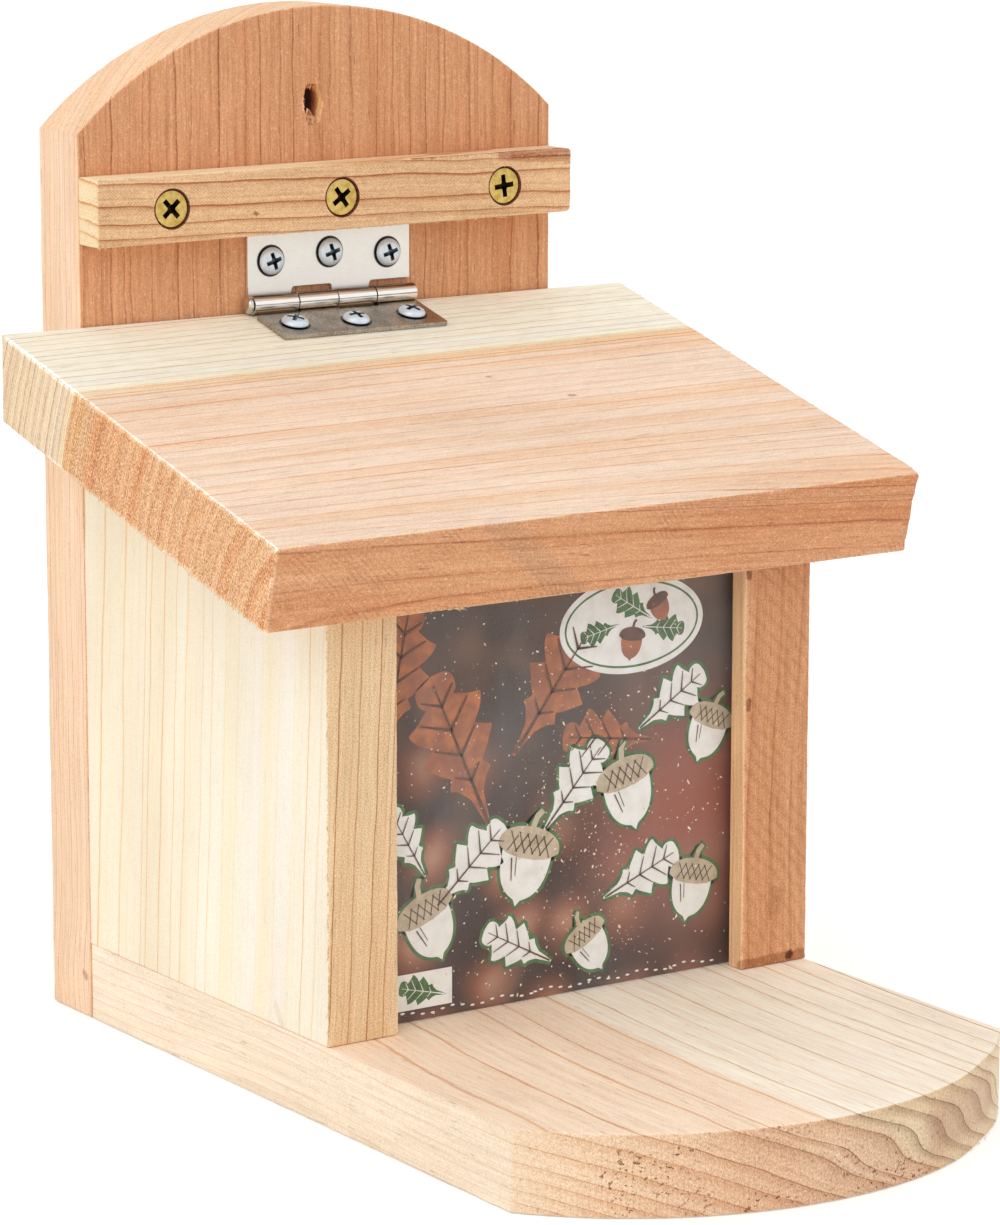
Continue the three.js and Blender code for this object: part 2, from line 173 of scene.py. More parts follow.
def bow(width, tip, rise, step, down=False):
    """Points of a shallow arc over a board's end, from its right corner to its left one."""
    half = width / 2
    radius = (half * half + rise * rise) / (2 * rise)
    spread = math.asin(half / radius)
    count = max(8, round(2 * spread * radius / step))
    sign = -1 if down else 1
    angles = [spread - 2 * spread * index / count for index in range(count + 1)]
    return [(math.sin(a) * radius, sign * (tip - radius + math.cos(a) * radius)) for a in angles]


def ripple(seed, *values):
    """Smooth noise between -1 and 1."""
    return noise.noise(Vector((values + (0.0, 0.0, 0.0))[:3]) + Vector((seed * 17.3, seed * 5.1, seed * 9.7)))


# A bite out of an arris: where it is, which face it is on, how long, and how deep each way
Chip = namedtuple("Chip", "place side reach inset drop")


def plank(
    name, outline, thickness, place, arris, tear, seed, cross_grain, chips=(), wobble=0.06, ease=None, hollow=None
):
    """A sawn board: an outline with worn, torn edges, extruded through a thickness.

    place turns (u, v, w) in millimetres into the board's place. cross_grain says how much a point of the
    outline is torn, from 0 along the grain to 1 across it. ease is the share of the wear on an arris, and
    hollow is how far the wall falls back between its two arrises.
    """
    count = len(outline)
    normals, runs, run = [], [], 0.0
    for index, point in enumerate(outline):
        following, before = outline[(index + 1) % count], outline[index - 1]
        along = (following - before).normalized()
        normals.append(Vector((along.y, -along.x)))
        runs.append(run)
        run += (following - point).length
    wall_rows, arris_steps, margin, least_drop = 9 if hollow else 5, 4, 2.2, 0.15
    sections, edges = [], []
    for index, point in enumerate(outline):
        normal, run = normals[index], runs[index]
        torn = cross_grain(point, normal)
        sag = wobble * ripple(seed, run * 0.035, 0.0) + 0.03 * ripple(seed + 3, run * 0.9, 0.0)
        edges.append(point + normal * sag)
        bites = []
        for side in (0, 1):
            uneven = 0.5 + 0.5 * ripple(seed + 5 + side, run * 0.06)
            rough = abs(ripple(seed + 11 + side, run * 0.55)) ** 1.5 + 0.35 * abs(ripple(seed + 13 + side, run * 1.7))
            size = arris * (0.6 + 0.8 * uneven) + tear * torn * rough
            size *= ease(point, side) if ease else 1.0
            inset, drop = size, size * (0.8 + 0.5 * ripple(seed + 17 + side, run * 0.2))
            for chip in chips:
                if chip.side != side:
                    continue
                near = 1 - (point - Vector(chip.place)).length / chip.reach
                if near > 0:
                    jag = 0.7 + 0.3 * ripple(seed + 19, run * 1.3)
                    inset = max(inset, chip.inset * min(1, near * 2.2) * jag)
                    drop = max(drop, chip.drop * min(1, near * 2.2) * jag)
            bites.append((inset, max(drop, least_drop)))
        section = [(max(margin, bites[0][0] * 1.3), 0.0)]
        for part in range(arris_steps + 1):
            angle = math.pi / 2 * (1 - part / arris_steps)
            inset, drop = bites[0]
            section.append((inset * (1 - math.cos(angle)), drop * (1 - math.sin(angle))))
        low, high = bites[0][1], thickness - bites[1][1]
        for part in range(1, wall_rows):
            level = low + (high - low) * part / wall_rows
            section.append((hollow(normal, run, level) if hollow else 0.0, level))
        for part in range(arris_steps + 1):
            angle = math.pi / 2 * part / arris_steps
            inset, drop = bites[1]
            section.append((inset * (1 - math.cos(angle)), thickness - drop * (1 - math.sin(angle))))
        section.append((max(margin, bites[1][0] * 1.3), thickness))
        sections.append(section)
    mesh = bmesh.new()
    rows = []
    last = len(sections[0]) - 1
    for level in range(last + 1):
        insets = [section[level][0] for section in sections]
        spots = zip(inset_outline(edges, normals, insets, level in (0, last)), sections)
        rows.append([mesh.verts.new(Vector(place(x, y, section[level][1])) * MM) for (x, y), section in spots])
    wall(mesh, rows)
    for row in (rows[0], rows[-1]):
        middle = mesh.verts.new(sum((vertex.co for vertex in row), Vector()) / count)
        for index in range(count):
            mesh.faces.new((row[index], row[(index + 1) % count], middle))
    return closed(mesh, name)


def inset_outline(edges, normals, insets, on_cap):
    """The points of a convex outline moved inwards, none nearer to any side than its own inset.

    On a cap they go round its middle in order, so that the fan of faces inside them never folds.
    """
    points, outward = np.array(edges), np.array(normals)
    depth = np.array(insets)
    moved = points - outward * depth[:, None]
    if depth.max() == 0:
        return moved
    for _ in range(8):
        reach = np.einsum("ijk,jk->ij", moved[:, None, :] - points[None], outward) + depth[:, None]
        worst = reach.argmax(axis=1)
        moved -= outward[worst] * np.maximum(reach.max(axis=1), 0)[:, None]
    if on_cap:
        arms = moved - moved.mean(axis=0)
        sense = np.sign(np.cross(arms, np.roll(arms, -1, axis=0)).sum())
        angles = np.arctan2(arms[:, 1], arms[:, 0])
        moved = moved[np.argsort(sense * (angles - angles[0]) % (2 * math.pi))]
    inner_run, inner_loop = loop_runs(moved)
    outer_run, _ = loop_runs(points)
    share = 0.7 * inner_run / inner_run[-1] + 0.3 * outer_run / outer_run[-1]
    spots = [np.interp(share[:-1] * inner_run[-1], inner_run, inner_loop[:, axis]) for axis in (0, 1)]
    return np.stack(spots, axis=1)


def loop_runs(points):
    """How far along a closed loop each of its points lies, and the loop with its first point repeated."""
    loop = np.vstack([points, points[:1]])
    steps = np.linalg.norm(np.diff(loop, axis=0), axis=1)
    return np.concatenate([[0.0], np.cumsum(steps)]), loop


def wall(mesh, rings):
    """Adds the faces between each ring of corners and the next."""
    for low, high in zip(rings, rings[1:]):
        for index in range(len(low)):
            following = (index + 1) % len(low)
            mesh.faces.new((low[index], low[following], high[following], high[index]))


def capped_wall(mesh, rings):
    """Adds a wall through the rings, with a flat face over the first and the last."""
    wall(mesh, rings)
    mesh.faces.new(rings[0])
    mesh.faces.new(rings[-1])


def prism(name, ends, matrix):
    """A closed body between two like outlines of (x, y, z) points, in millimetres."""
    mesh = bmesh.new()
    capped_wall(mesh, [[mesh.verts.new(matrix @ (Vector(spot) * MM)) for spot in end] for end in ends])
    return closed(mesh, name)


def slab(name, outline, low, high, matrix):
    """A closed outline in (x, y) raised from one height to another, in millimetres."""
    return prism(name, [[(x, y, z) for x, y in outline] for z in (low, high)], matrix)


def closed(mesh, name):
    """Turns a closed bmesh into an object, its faces looking outwards."""
    bmesh.ops.recalc_face_normals(mesh, faces=mesh.faces)
    return to_object(mesh, name)


def to_object(mesh, name):
    """Turns a bmesh into an object whose faces are smooth up to an angle."""
    data = bpy.data.meshes.new(name)
    mesh.to_mesh(data)
    mesh.free()
    round_off(data)
    made = bpy.data.objects.new(name, data)
    bpy.context.scene.collection.objects.link(made)
    return made


def round_off(data, smooth_angle=SMOOTH_ANGLE):
    """Shades a mesh's short faces smooth up to an angle, and leaves its long and broad ones flat."""
    spots, ends = np.zeros(3 * len(data.vertices)), np.zeros(2 * len(data.edges), dtype=np.int32)
    edges, starts = np.zeros(len(data.loops), dtype=np.int32), np.zeros(len(data.polygons), dtype=np.int32)
    data.vertices.foreach_get("co", spots)
    data.edges.foreach_get("vertices", ends)
    data.loops.foreach_get("edge_index", edges)
    data.polygons.foreach_get("loop_start", starts)
    pairs = spots.reshape(-1, 3)[ends.reshape(-1, 2)]
    lengths = np.linalg.norm(pairs[:, 0] - pairs[:, 1], axis=1)
    data.polygons.foreach_set("use_smooth", np.maximum.reduceat(lengths[edges], starts) < 8 * MM)
    data.set_sharp_from_angle(angle=math.radians(smooth_angle))


def settle(made, smooth_angle=SMOOTH_ANGLE):
    """Applies an object's modifiers to its mesh."""
    data = bpy.data.meshes.new_from_object(made.evaluated_get(bpy.context.evaluated_depsgraph_get()))
    made.modifiers.clear()
    made.data = data
    round_off(data, smooth_angle)


def cut(made, others, smooth_angle=SMOOTH_ANGLE, operation="DIFFERENCE"):
    """Cuts others out of an object, or fuses them on as one closed body, and drops them."""
    for other in others:
        step = made.modifiers.new("step", "BOOLEAN")
        step.operation, step.solver, step.object = operation, "MANIFOLD", other
    bpy.context.view_layer.update()
    settle(made, smooth_angle)
    for other in others:
        data = other.data
        bpy.data.objects.remove(other)
        bpy.data.meshes.remove(data)


def turned(name, profile, matrix, sides=40, shape=None):
    """A closed solid of revolution about Z from (radius, height) points, bottom first, in millimetres."""
    mesh = bmesh.new()
    rings = []
    for radius, height in profile:
        if radius == 0:
            rings.append([mesh.verts.new(matrix @ (Vector((0, 0, height)) * MM))])
            continue
        ring = []
        for index in range(sides):
            angle = 2 * math.pi * index / sides
            r, h = shape(radius, height, angle) if shape else (radius, height)
            ring.append(mesh.verts.new(matrix @ (Vector((math.cos(angle) * r, math.sin(angle) * r, h)) * MM)))
        rings.append(ring)
    for low, high in zip(rings, rings[1:]):
        for index in range(sides):
            following = (index + 1) % sides
            if len(low) == 1:
                mesh.faces.new((low[0], high[following], high[index]))
            elif len(high) == 1:
                mesh.faces.new((low[index], low[following], high[0]))
            else:
                mesh.faces.new((low[index], low[following], high[following], high[index]))
    return closed(mesh, name)


def aimed(place, direction):
    """A place in millimetres, with Z turned to a direction."""
    spin = Vector(direction).to_track_quat("Z", "Y").to_matrix().to_4x4()
    return Matrix.Translation(Vector(place) * MM) @ spin


def dress(made, materials, body, slot, *nodes):
    """Gives a piece its finishes, and says which body it rides on and which solids it stands for. Its slot is not used.
    """
    finish_with(made, *materials)
    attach(made, body)
    if nodes:
        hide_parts(*nodes)


def finish_with(made, *materials):
    """Gives a piece its finishes, each face keeping the number of its own."""
    numbers = np.zeros(len(made.data.polygons), dtype=np.int32)
    made.data.polygons.foreach_get("material_index", numbers)
    made.data.materials.clear()
    for material in materials:
        made.data.materials.append(material)
    made.data.polygons.foreach_set("material_index", numbers)


# Finishes


class Wiring:
    """Shader nodes, wired one step at a time."""

    def __init__(self, tree):
        self.tree = tree

    def node(self, kind, *values, **settings):
        made = self.tree.nodes.new(kind)
        for key, value in settings.items():
            setattr(made, key, value)
        for socket, value in zip(made.inputs, values):
            self.feed(socket, value)
        return made

    def feed(self, socket, value):
        if isinstance(value, bpy.types.NodeSocket):
            self.tree.links.new(value, socket)
        else:
            socket.default_value = value

    def math(self, operation, *values, clamp=False):
        return self.node("ShaderNodeMath", *values, operation=operation, use_clamp=clamp).outputs[0]

    def vector(self, operation, *values, scale=None):
        made = self.node("ShaderNodeVectorMath", *values, operation=operation)
        if scale is not None:
            self.feed(made.inputs["Scale"], scale)
        return made.outputs["Value" if operation in ("DOT_PRODUCT", "LENGTH", "DISTANCE") else "Vector"]

    def combine(self, x, y, z):
        return self.node("ShaderNodeCombineXYZ", x, y, z).outputs[0]

    def parts(self, vector):
        return self.node("ShaderNodeSeparateXYZ", vector).outputs

    def noise(self, vector, detail=2.0, roughness=0.5, scale=None):
        spot = vector if scale is None else self.vector("SCALE", vector, scale=scale)
        made = self.node("ShaderNodeTexNoise")
        for name, value in (("Vector", spot), ("Scale", 1.0), ("Detail", detail), ("Roughness", roughness)):
            self.feed(made.inputs[name], value)
        return made.outputs[0]

    def spread(self, value, low, high, to_low=0.0, to_high=1.0, smooth=True):
        kind = "SMOOTHSTEP" if smooth else "LINEAR"
        values = value, low, high, to_low, to_high
        return self.node("ShaderNodeMapRange", *values, interpolation_type=kind).outputs[0]

    def between(self, share, low, high):
        return self.spread(share, 0, 1, low, high)

    def level(self, value, low, high):
        """A noise, most of which lies between 0.2 and 0.8, as a setting between two values."""
        return self.spread(value, 0.2, 0.8, low, high, smooth=False)

    def ramp(self, value, stops):
        made = self.node("ShaderNodeValToRGB", value)
        elements = made.color_ramp.elements
        while len(elements) < len(stops):
            elements.new(0.5)
        for element, (position, level) in zip(elements, stops):
            element.position = position
            element.color = (level, level, level, 1)
        return self.times(made.outputs[0], 1.0)

    def mix(self, factor, first, second, blend="MIX"):
        made = self.node("ShaderNodeMix", factor, data_type="RGBA", blend_type=blend)
        for socket, value in ((made.inputs[6], first), (made.inputs[7], second)):
            self.feed(socket, value if isinstance(value, bpy.types.NodeSocket) else (*value[:3], 1))
        return made.outputs[2]

    def tinted(self, factor, base, shade):
        return self.mix(factor, base, shade, blend="MULTIPLY")

    def brighten(self, colour_socket, power):
        """Lifts a colour towards white: painted light, for the faces that the lamp catches most."""
        dark = self.node("ShaderNodeInvert", 1.0, colour_socket).outputs[0]
        deeper = self.node("ShaderNodeGamma", dark, power).outputs[0]
        return self.node("ShaderNodeInvert", 1.0, deeper).outputs[0]

    def total(self, *values):
        return self.fold("ADD", values)

    def times(self, *values):
        return self.fold("MULTIPLY", values)

    def minus(self, first, second, clamp=False):
        return self.math("SUBTRACT", first, second, clamp=clamp)

    def fold(self, operation, values):
        result = values[0]
        for value in values[1:]:
            result = self.math(operation, result, value)
        return result


class Recipe(Wiring):
    """A material's nodes. Places are in millimetres."""

    def __init__(self, name):
        self.material = bpy.data.materials.new(name)
        self.material.use_nodes = True
        super().__init__(self.material.node_tree)
        self.shader = self.tree.nodes["Principled BSDF"]
        coordinates = self.node("ShaderNodeTexCoord")
        self.facing = coordinates.outputs["Normal"]
        self.spot = self.vector("SCALE", coordinates.outputs["Object"], scale=1 / MM)

    def relief(self, height):
        """Bump from a height in millimetres."""
        bump = self.node("ShaderNodeBump")
        bump.inputs["Strength"].default_value = 1.0
        bump.inputs["Distance"].default_value = MM
        self.feed(bump.inputs["Height"], height)
        self.feed(self.shader.inputs["Normal"], bump.outputs[0])

    def finished(self, body, roughness, height=None, **settings):
        """The material, once it has its colour, its roughness, its relief and any other settings."""
        for name, value in {"Base Color": body, "Roughness": roughness, **settings}.items():
            self.feed(self.shader.inputs[name], value)
        if height is not None:
            self.relief(height)
        return self.material


# Marks that a blade left on the faces that look one way: the blade's centre, its step, and how deep, dark and patchy
Saw = namedtuple("Saw", "faces centre pitch depth shade patchy", defaults=[0.5])


class Grain:
    """How a board was cut from the log, and how its faces look. Lengths are millimetres in the frame of the solids."""

    usual = dict(
        # the rings: their places, how far they stray, and how late wood shows
        seed=0, radii=None, unevenness=0.5, wander=2.0, waver=0.5, swells=(), bend=None, contrast=1.0, late_edge=0.8,
        core=0.15, thirds=0.34, faintest=0.4, gaps=0.5, side_rings=1.0, end_rings=1.0, faded=(), bands=(),
        # where the heartwood ends
        heart_edge=None, rim=0.5, rim_share=0.55, sap_calm=0.5,
        # how the sides, the top and the ends differ from the face that was planed; the lift of the sides and the top
        # towards white, and their tints, are painted light
        side_painted_light=1.3, top_painted_light=1.0, side_light_tint=(1, 1, 1), top_tint=(1, 1, 1), end_shade=(0.93, 0.86, 0.78),
        side_calm=0.25, top_calm=0.25, end_streak=1.0, end_soft=0.0, end_blur=0.8,
        # flushes, streaks, speckle, torn fuzz, pits, saw marks, and stains, some of which are painted highlights and
        # painted shadows
        flush=(0.92, 0.8, 0.7), broad=0.35, streak=1.0, grit=(2.8, 2.8, 2.8), speckle=0.45, end_speckle=0.2,
        fuzz=0.1, end_fuzz=0.2, end_pits=0.0, pits_shade=0.7, saws=(), stains_and_painted_light=(),
    )

    def __init__(self, along, pith, spacing, **rest):
        self.along, self.pith, self.spacing = Vector(along).normalized(), Vector(pith), spacing
        settings = {**self.usual, **rest}
        for name in ("end_rings", "top_tint", "end_shade"):
            settings.setdefault(f"sap_{name}", settings[name])
        for name, value in settings.items():
            setattr(self, name, value)


def ring_radii(along, pith, spots):
    """How far each spot lies from the axis that the rings run round, nearest first."""
    axis = Vector(along).normalized()
    arms = [Vector(spot) - Vector(pith) for spot in spots]
    return sorted((arm - axis * arm.dot(axis)).length for arm in arms)


def ring_phase(r, grain, radius, centred):
    """Which ring a place lies in, and how far through it: through listed rings, or evenly spaced ones."""
    uneven = r.noise(r.combine(r.times(radius, 0.37 / grain.spacing), grain.seed + 0.3, 0.0), 1.0)
    if not grain.radii:
        return r.total(r.math("DIVIDE", radius, grain.spacing), centred(uneven, grain.unevenness))
    first, last = grain.radii[0], grain.radii[-1]
    curve = r.node("ShaderNodeFloatCurve")
    curve.mapping.use_clip = False
    curve.mapping.extend = "EXTRAPOLATED"
    points = curve.mapping.curves[0].points
    for index, each in enumerate(grain.radii[1:-1], 1):
        points.new((each - first) / (last - first), index / (len(grain.radii) - 1))
    for point in points:
        point.handle_type = "VECTOR"
    curve.mapping.update()
    r.feed(curve.inputs["Value"], r.math("DIVIDE", r.minus(radius, first), last - first))
    listed = r.times(curve.outputs[0], len(grain.radii) - 1.0)
    beyond = r.spread(radius, last, last + 3 * grain.spacing)
    return r.total(listed, r.times(centred(uneven, grain.unevenness), beyond))


def apply_marks_and_painted_light(r, grain, body, seeded, centred):
    """Darkens or tints a body along each stain: a segment with a ragged edge at its radius. Besides real stains, some
    entries are painted highlights and painted shadows.
    """
    coarse = centred(r.noise(seeded, 3.0, scale=0.4), 1.6)
    fine = centred(r.noise(seeded, 2.0, scale=1.6), 0.7)
    for start, end, radius, softness, shade in grain.stains_and_painted_light:
        span = Vector(end) - Vector(start)
        away = r.vector("SUBTRACT", r.spot, tuple(start))
        reach = r.vector("DOT_PRODUCT", away, tuple(span))
        share = r.math("MULTIPLY", reach, 1 / max(span.length_squared, 0.01), clamp=True)
        gap = r.vector("LENGTH", r.vector("SUBTRACT", away, r.vector("SCALE", tuple(span), scale=share)))
        rough = min(1.0, radius / 3) * 1.4 * (1 - softness)
        ragged = r.total(gap, r.times(r.total(coarse, fine), rough))
        body = r.tinted(r.spread(ragged, radius, radius * softness), body, shade)
    return body


def sawn(r, saw, seeded, centred):
    """How deep a place lies in a saw's marks: arcs round the blade's centre, patchy, on the faces it cut."""
    faced = r.spread(r.vector("DOT_PRODUCT", r.facing, saw.faces), 0.5, 0.85)
    drift = centred(r.noise(seeded, 1.0, scale=0.12), 0.5 * saw.pitch)
    arc = r.total(r.vector("DISTANCE", r.spot, saw.centre), drift)
    wave = r.math("SINE", r.math("DIVIDE", arc, saw.pitch / (2 * math.pi)))
    ridge = r.math("POWER", r.math("MULTIPLY_ADD", wave, 0.5, 0.5), 2.5)
    patch = r.spread(r.noise(seeded, 2.0, scale=0.045), 0.5 - saw.patchy, 0.62)
    streaky = r.spread(r.noise(seeded, 2.0, scale=0.5), 0.3, 0.6, 0.3, 1.0)
    return r.times(ridge, patch, streaky, faced)


def timber(name, grain, early, late, sap_early=None, sap_late=None):
    """Softwood whose growth rings run through the whole board, so that faces and ends agree."""
    r = Recipe(name)
    along = tuple(grain.along)
    from_pith = r.vector("SUBTRACT", r.spot, tuple(grain.pith))
    reach = r.vector("DOT_PRODUCT", from_pith, along)
    radial = r.vector("SUBTRACT", from_pith, r.vector("SCALE", along, scale=reach))
    seeded = r.vector("ADD", r.spot, [grain.seed * step for step in (31.7, 12.9, 7.3)])
    reach_seeded = r.vector("DOT_PRODUCT", seeded, along)

    def stretched(across, lengthwise):
        """The place with its scale along the grain set apart from its scale across."""
        shift = r.vector("SCALE", along, scale=r.times(reach_seeded, lengthwise - across))
        return r.vector("ADD", r.vector("SCALE", seeded, scale=across), shift)

    def centred(value, amount):
        return r.times(r.minus(value, 0.5), 2 * amount)

    shifts = [
        r.vector("LENGTH", radial),
        centred(r.noise(stretched(0.016, 0.006), 1.0), grain.wander),
        centred(r.noise(stretched(0.11, 0.035), 2.0), grain.waver),
        centred(r.noise(stretched(0.9, 0.16), 2.0), grain.waver * 0.22),
    ]
    for centre, width, rise in grain.swells:
        away = r.math("DIVIDE", r.minus(reach, centre), width)
        shifts.append(r.times(r.math("EXPONENT", r.times(away, away, -1.0)), rise))
    if grain.bend:
        top, span, rise, start, full = grain.bend
        across, _, up = r.parts(r.spot)
        wave = r.math("SINE", r.times(r.minus(top, up), math.pi / span))
        shifts.append(r.times(wave, wave, rise, r.spread(across, start, full)))
    radius = r.total(*shifts)
    phase = ring_phase(r, grain, radius, centred)
    within = r.math("FRACT", phase)
    chance = r.node("ShaderNodeTexWhiteNoise", noise_dimensions="1D")
    r.feed(chance.inputs["W"], r.total(r.math("FLOOR", phase), grain.seed * 3.0))
    weight = r.spread(chance.outputs[0], 0.0, 1.0, grain.faintest, 1.0, smooth=False)
    edge = grain.late_edge
    rise = edge + (0.95 - edge) * 0.6
    risen = [(0.0, 0.35), (0.025, 0.05), (0.3, 0.0), (edge, 0.1), (rise, 0.42), (0.95, 1.0), (0.985, 1.0), (1.0, 0.35)]
    profile = r.ramp(within, risen)
    broken = r.spread(r.noise(stretched(0.25, 0.03), 2.0), 0.3, 0.62, 1.0 - grain.gaps, 1.0)
    thin = r.ramp(r.math("FRACT", r.times(phase, 3.0)), [(0.0, 0.2), (0.1, 0.0), (0.7, 0.0), (0.93, 1.0), (1.0, 0.2)])
    thin = r.times(thin, r.spread(r.noise(stretched(0.3, 0.02), 1.0), 0.42, 0.68, 0.0, grain.thirds))
    side, _, top = r.parts(r.facing)
    across_x, across_z = r.times(side, side), r.times(top, top)
    ends = r.spread(r.math("ABSOLUTE", r.vector("DOT_PRODUCT", r.facing, along)), 0.55, 0.85)
    if sap_early:
        blur = r.between(ends, 0.8, grain.end_blur)
        outside = r.spread(radius, r.minus(grain.heart_edge, blur), r.total(grain.heart_edge, blur))
        thin = r.times(thin, r.between(outside, 1.0, 0.2))
    late_amount = r.math("MAXIMUM", r.times(profile, weight), thin)
    late_amount = r.times(late_amount, broken, grain.contrast)
    core = r.times(r.spread(profile, 0.75, 1.0), weight, broken, grain.core)

    lines = r.noise(r.combine(r.times(radius, 1.7), r.times(reach_seeded, 0.012), grain.seed), 3.0)
    fibres = r.noise(stretched(1.5, 0.06), 3.0, roughness=0.65)
    cloud = r.noise(stretched(0.03, 0.012), 2.0)
    grit = r.noise(r.vector("MULTIPLY", seeded, grain.grit), 2.0, roughness=0.75)
    broad = r.noise(r.combine(r.times(radius, 0.17), r.times(reach_seeded, 0.004), grain.seed), 3.0)
    flecks = r.spread(r.noise(stretched(1.3, 0.14), 1.0), 0.68, 0.76)

    early_tone, late_tone = early, late
    end_shade, top_tint, end_rings = grain.end_shade, grain.top_tint, grain.end_rings
    if sap_early:
        early_tone, late_tone = r.mix(outside, early, sap_early), r.mix(outside, late, sap_late)
        end_shade = r.mix(outside, grain.end_shade, grain.sap_end_shade)
        top_tint = r.mix(outside, grain.top_tint, grain.sap_top_tint)
        end_rings = r.between(outside, grain.end_rings, grain.sap_end_rings)
        from_edge = r.math("ABSOLUTE", r.math("DIVIDE", r.minus(radius, grain.heart_edge - grain.rim), 0.7))
        rim = r.minus(1.0, from_edge, clamp=True)
        late_amount = r.math("MAXIMUM", late_amount, r.times(rim, grain.rim_share))
    faces = r.times(r.between(ends, 1.0, end_rings), r.math("MULTIPLY_ADD", across_x, grain.side_rings - 1.0, 1.0))
    for inner, outer, share in grain.faded:
        inside = r.times(r.spread(radius, inner - 1, inner + 1), r.spread(radius, outer + 1, outer - 1))
        faces = r.times(faces, r.math("MULTIPLY_ADD", inside, share - 1.0, 1.0))
    late_amount = r.times(late_amount, faces)
    if grain.end_soft:
        soft = r.times(r.spread(within, 0.3, 0.98), ends, grain.end_soft)
        late_amount = r.math("MAXIMUM", late_amount, soft)
    body = r.mix(r.math("MINIMUM", late_amount, 1.0), early_tone, late_tone)
    deeper = r.math("MAXIMUM", r.minus(late_amount, 1.0, clamp=True), r.times(core, faces, r.minus(1.0, ends)))
    body = r.tinted(deeper, body, (0.55, 0.48, 0.42))
    for inner, outer, shade, amount in grain.bands:
        inside = r.times(r.spread(radius, inner - 0.8, inner + 0.8), r.spread(radius, outer + 0.8, outer - 0.8))
        body = r.tinted(r.times(inside, amount), body, shade)

    body = r.tinted(ends, body, end_shade)
    flush = r.times(r.spread(broad, 0.44, 0.64), r.between(ends, grain.broad, min(1.0, 2 * grain.broad)))
    if sap_early:
        flush = r.times(flush, r.between(outside, 1.0, 0.2))
    body = r.tinted(flush, body, grain.flush)

    still = r.total(1.0, r.times(across_x, -grain.side_calm), r.times(across_z, -grain.top_calm))
    strength = r.times(r.between(ends, 2 * grain.speckle, 4 * grain.end_speckle), still)
    if sap_early:
        strength = r.times(strength, r.between(outside, 1.0, grain.sap_calm))
    speckle = r.times(r.minus(grit, 0.5), strength)
    pits = r.spread(r.noise(r.vector("MULTIPLY", seeded, (0.9, 0.9, 1.0)), 2.0), 0.61, 0.67)
    patches = r.spread(r.noise(seeded, 1.0, scale=0.07), 0.44, 0.56)
    pits = r.times(pits, patches, ends, grain.end_pits)
    if sap_early:
        pits = r.times(pits, r.between(outside, 1.0, 0.35))
    lined = r.times(centred(lines, 0.16), r.between(ends, 1.0, grain.end_streak))
    streaks = r.total(lined, centred(fibres, 0.24), r.times(flecks, -0.2))
    shade = r.total(
        1.0,
        r.times(streaks, grain.streak, still),
        centred(cloud, 0.12),
        speckle,
    )
    height = r.total(
        r.times(late_amount, 0.03),
        r.times(fibres, 0.06),
        r.times(grit, 0.08),
        r.times(flecks, -0.06),
        r.times(pits, -0.2),
    )
    for saw in grain.saws:
        mark = sawn(r, saw, seeded, centred)
        shade = r.total(shade, r.times(mark, -saw.shade))
        height = r.total(height, r.times(mark, -saw.depth))
    # painted light: faces turned sideways and upwards are lifted towards white and tinted, as if lit more brightly than
    # the front
    lit = r.total(1.0, r.times(across_x, grain.side_painted_light), r.times(across_z, grain.top_painted_light))
    body = r.brighten(body, lit)
    body = r.tinted(across_x, body, grain.side_light_tint)
    body = r.tinted(across_z, body, top_tint)
    body = apply_marks_and_painted_light(r, grain, body, seeded, centred)
    greener = r.times(shade, r.math("MULTIPLY_ADD", shade, 0.25, 0.75))
    bluer = r.times(shade, r.math("MULTIPLY_ADD", shade, 0.5, 0.5))
    body = r.vector("MULTIPLY", body, r.combine(shade, greener, bluer))
    if grain.end_pits:
        body = r.tinted(r.times(pits, grain.pits_shade), body, (0.36, 0.2, 0.13))
    tufts = r.spread(r.between(ends, r.noise(stretched(2.7, 0.9), 1.0), r.total(grit, 0.05)), 0.58, 0.72)
    tufts = r.times(tufts, r.spread(shade, 0.86, 1.0))
    body = r.mix(r.times(tufts, r.between(ends, grain.fuzz, grain.end_fuzz)), body, tint(255, 226, 192))
    return r.finished(body, r.level(fibres, 0.72, 0.86), height, **{"Specular IOR Level": 0.28})


# Boards


def board_settings(scene):
    """The wear and the outline step in millimetres, and the colours."""
    sizes = scene.feeder_sizes
    return sizes.arris / MM, sizes.tear / MM, sizes.outline_step / MM, scene.feeder_colours


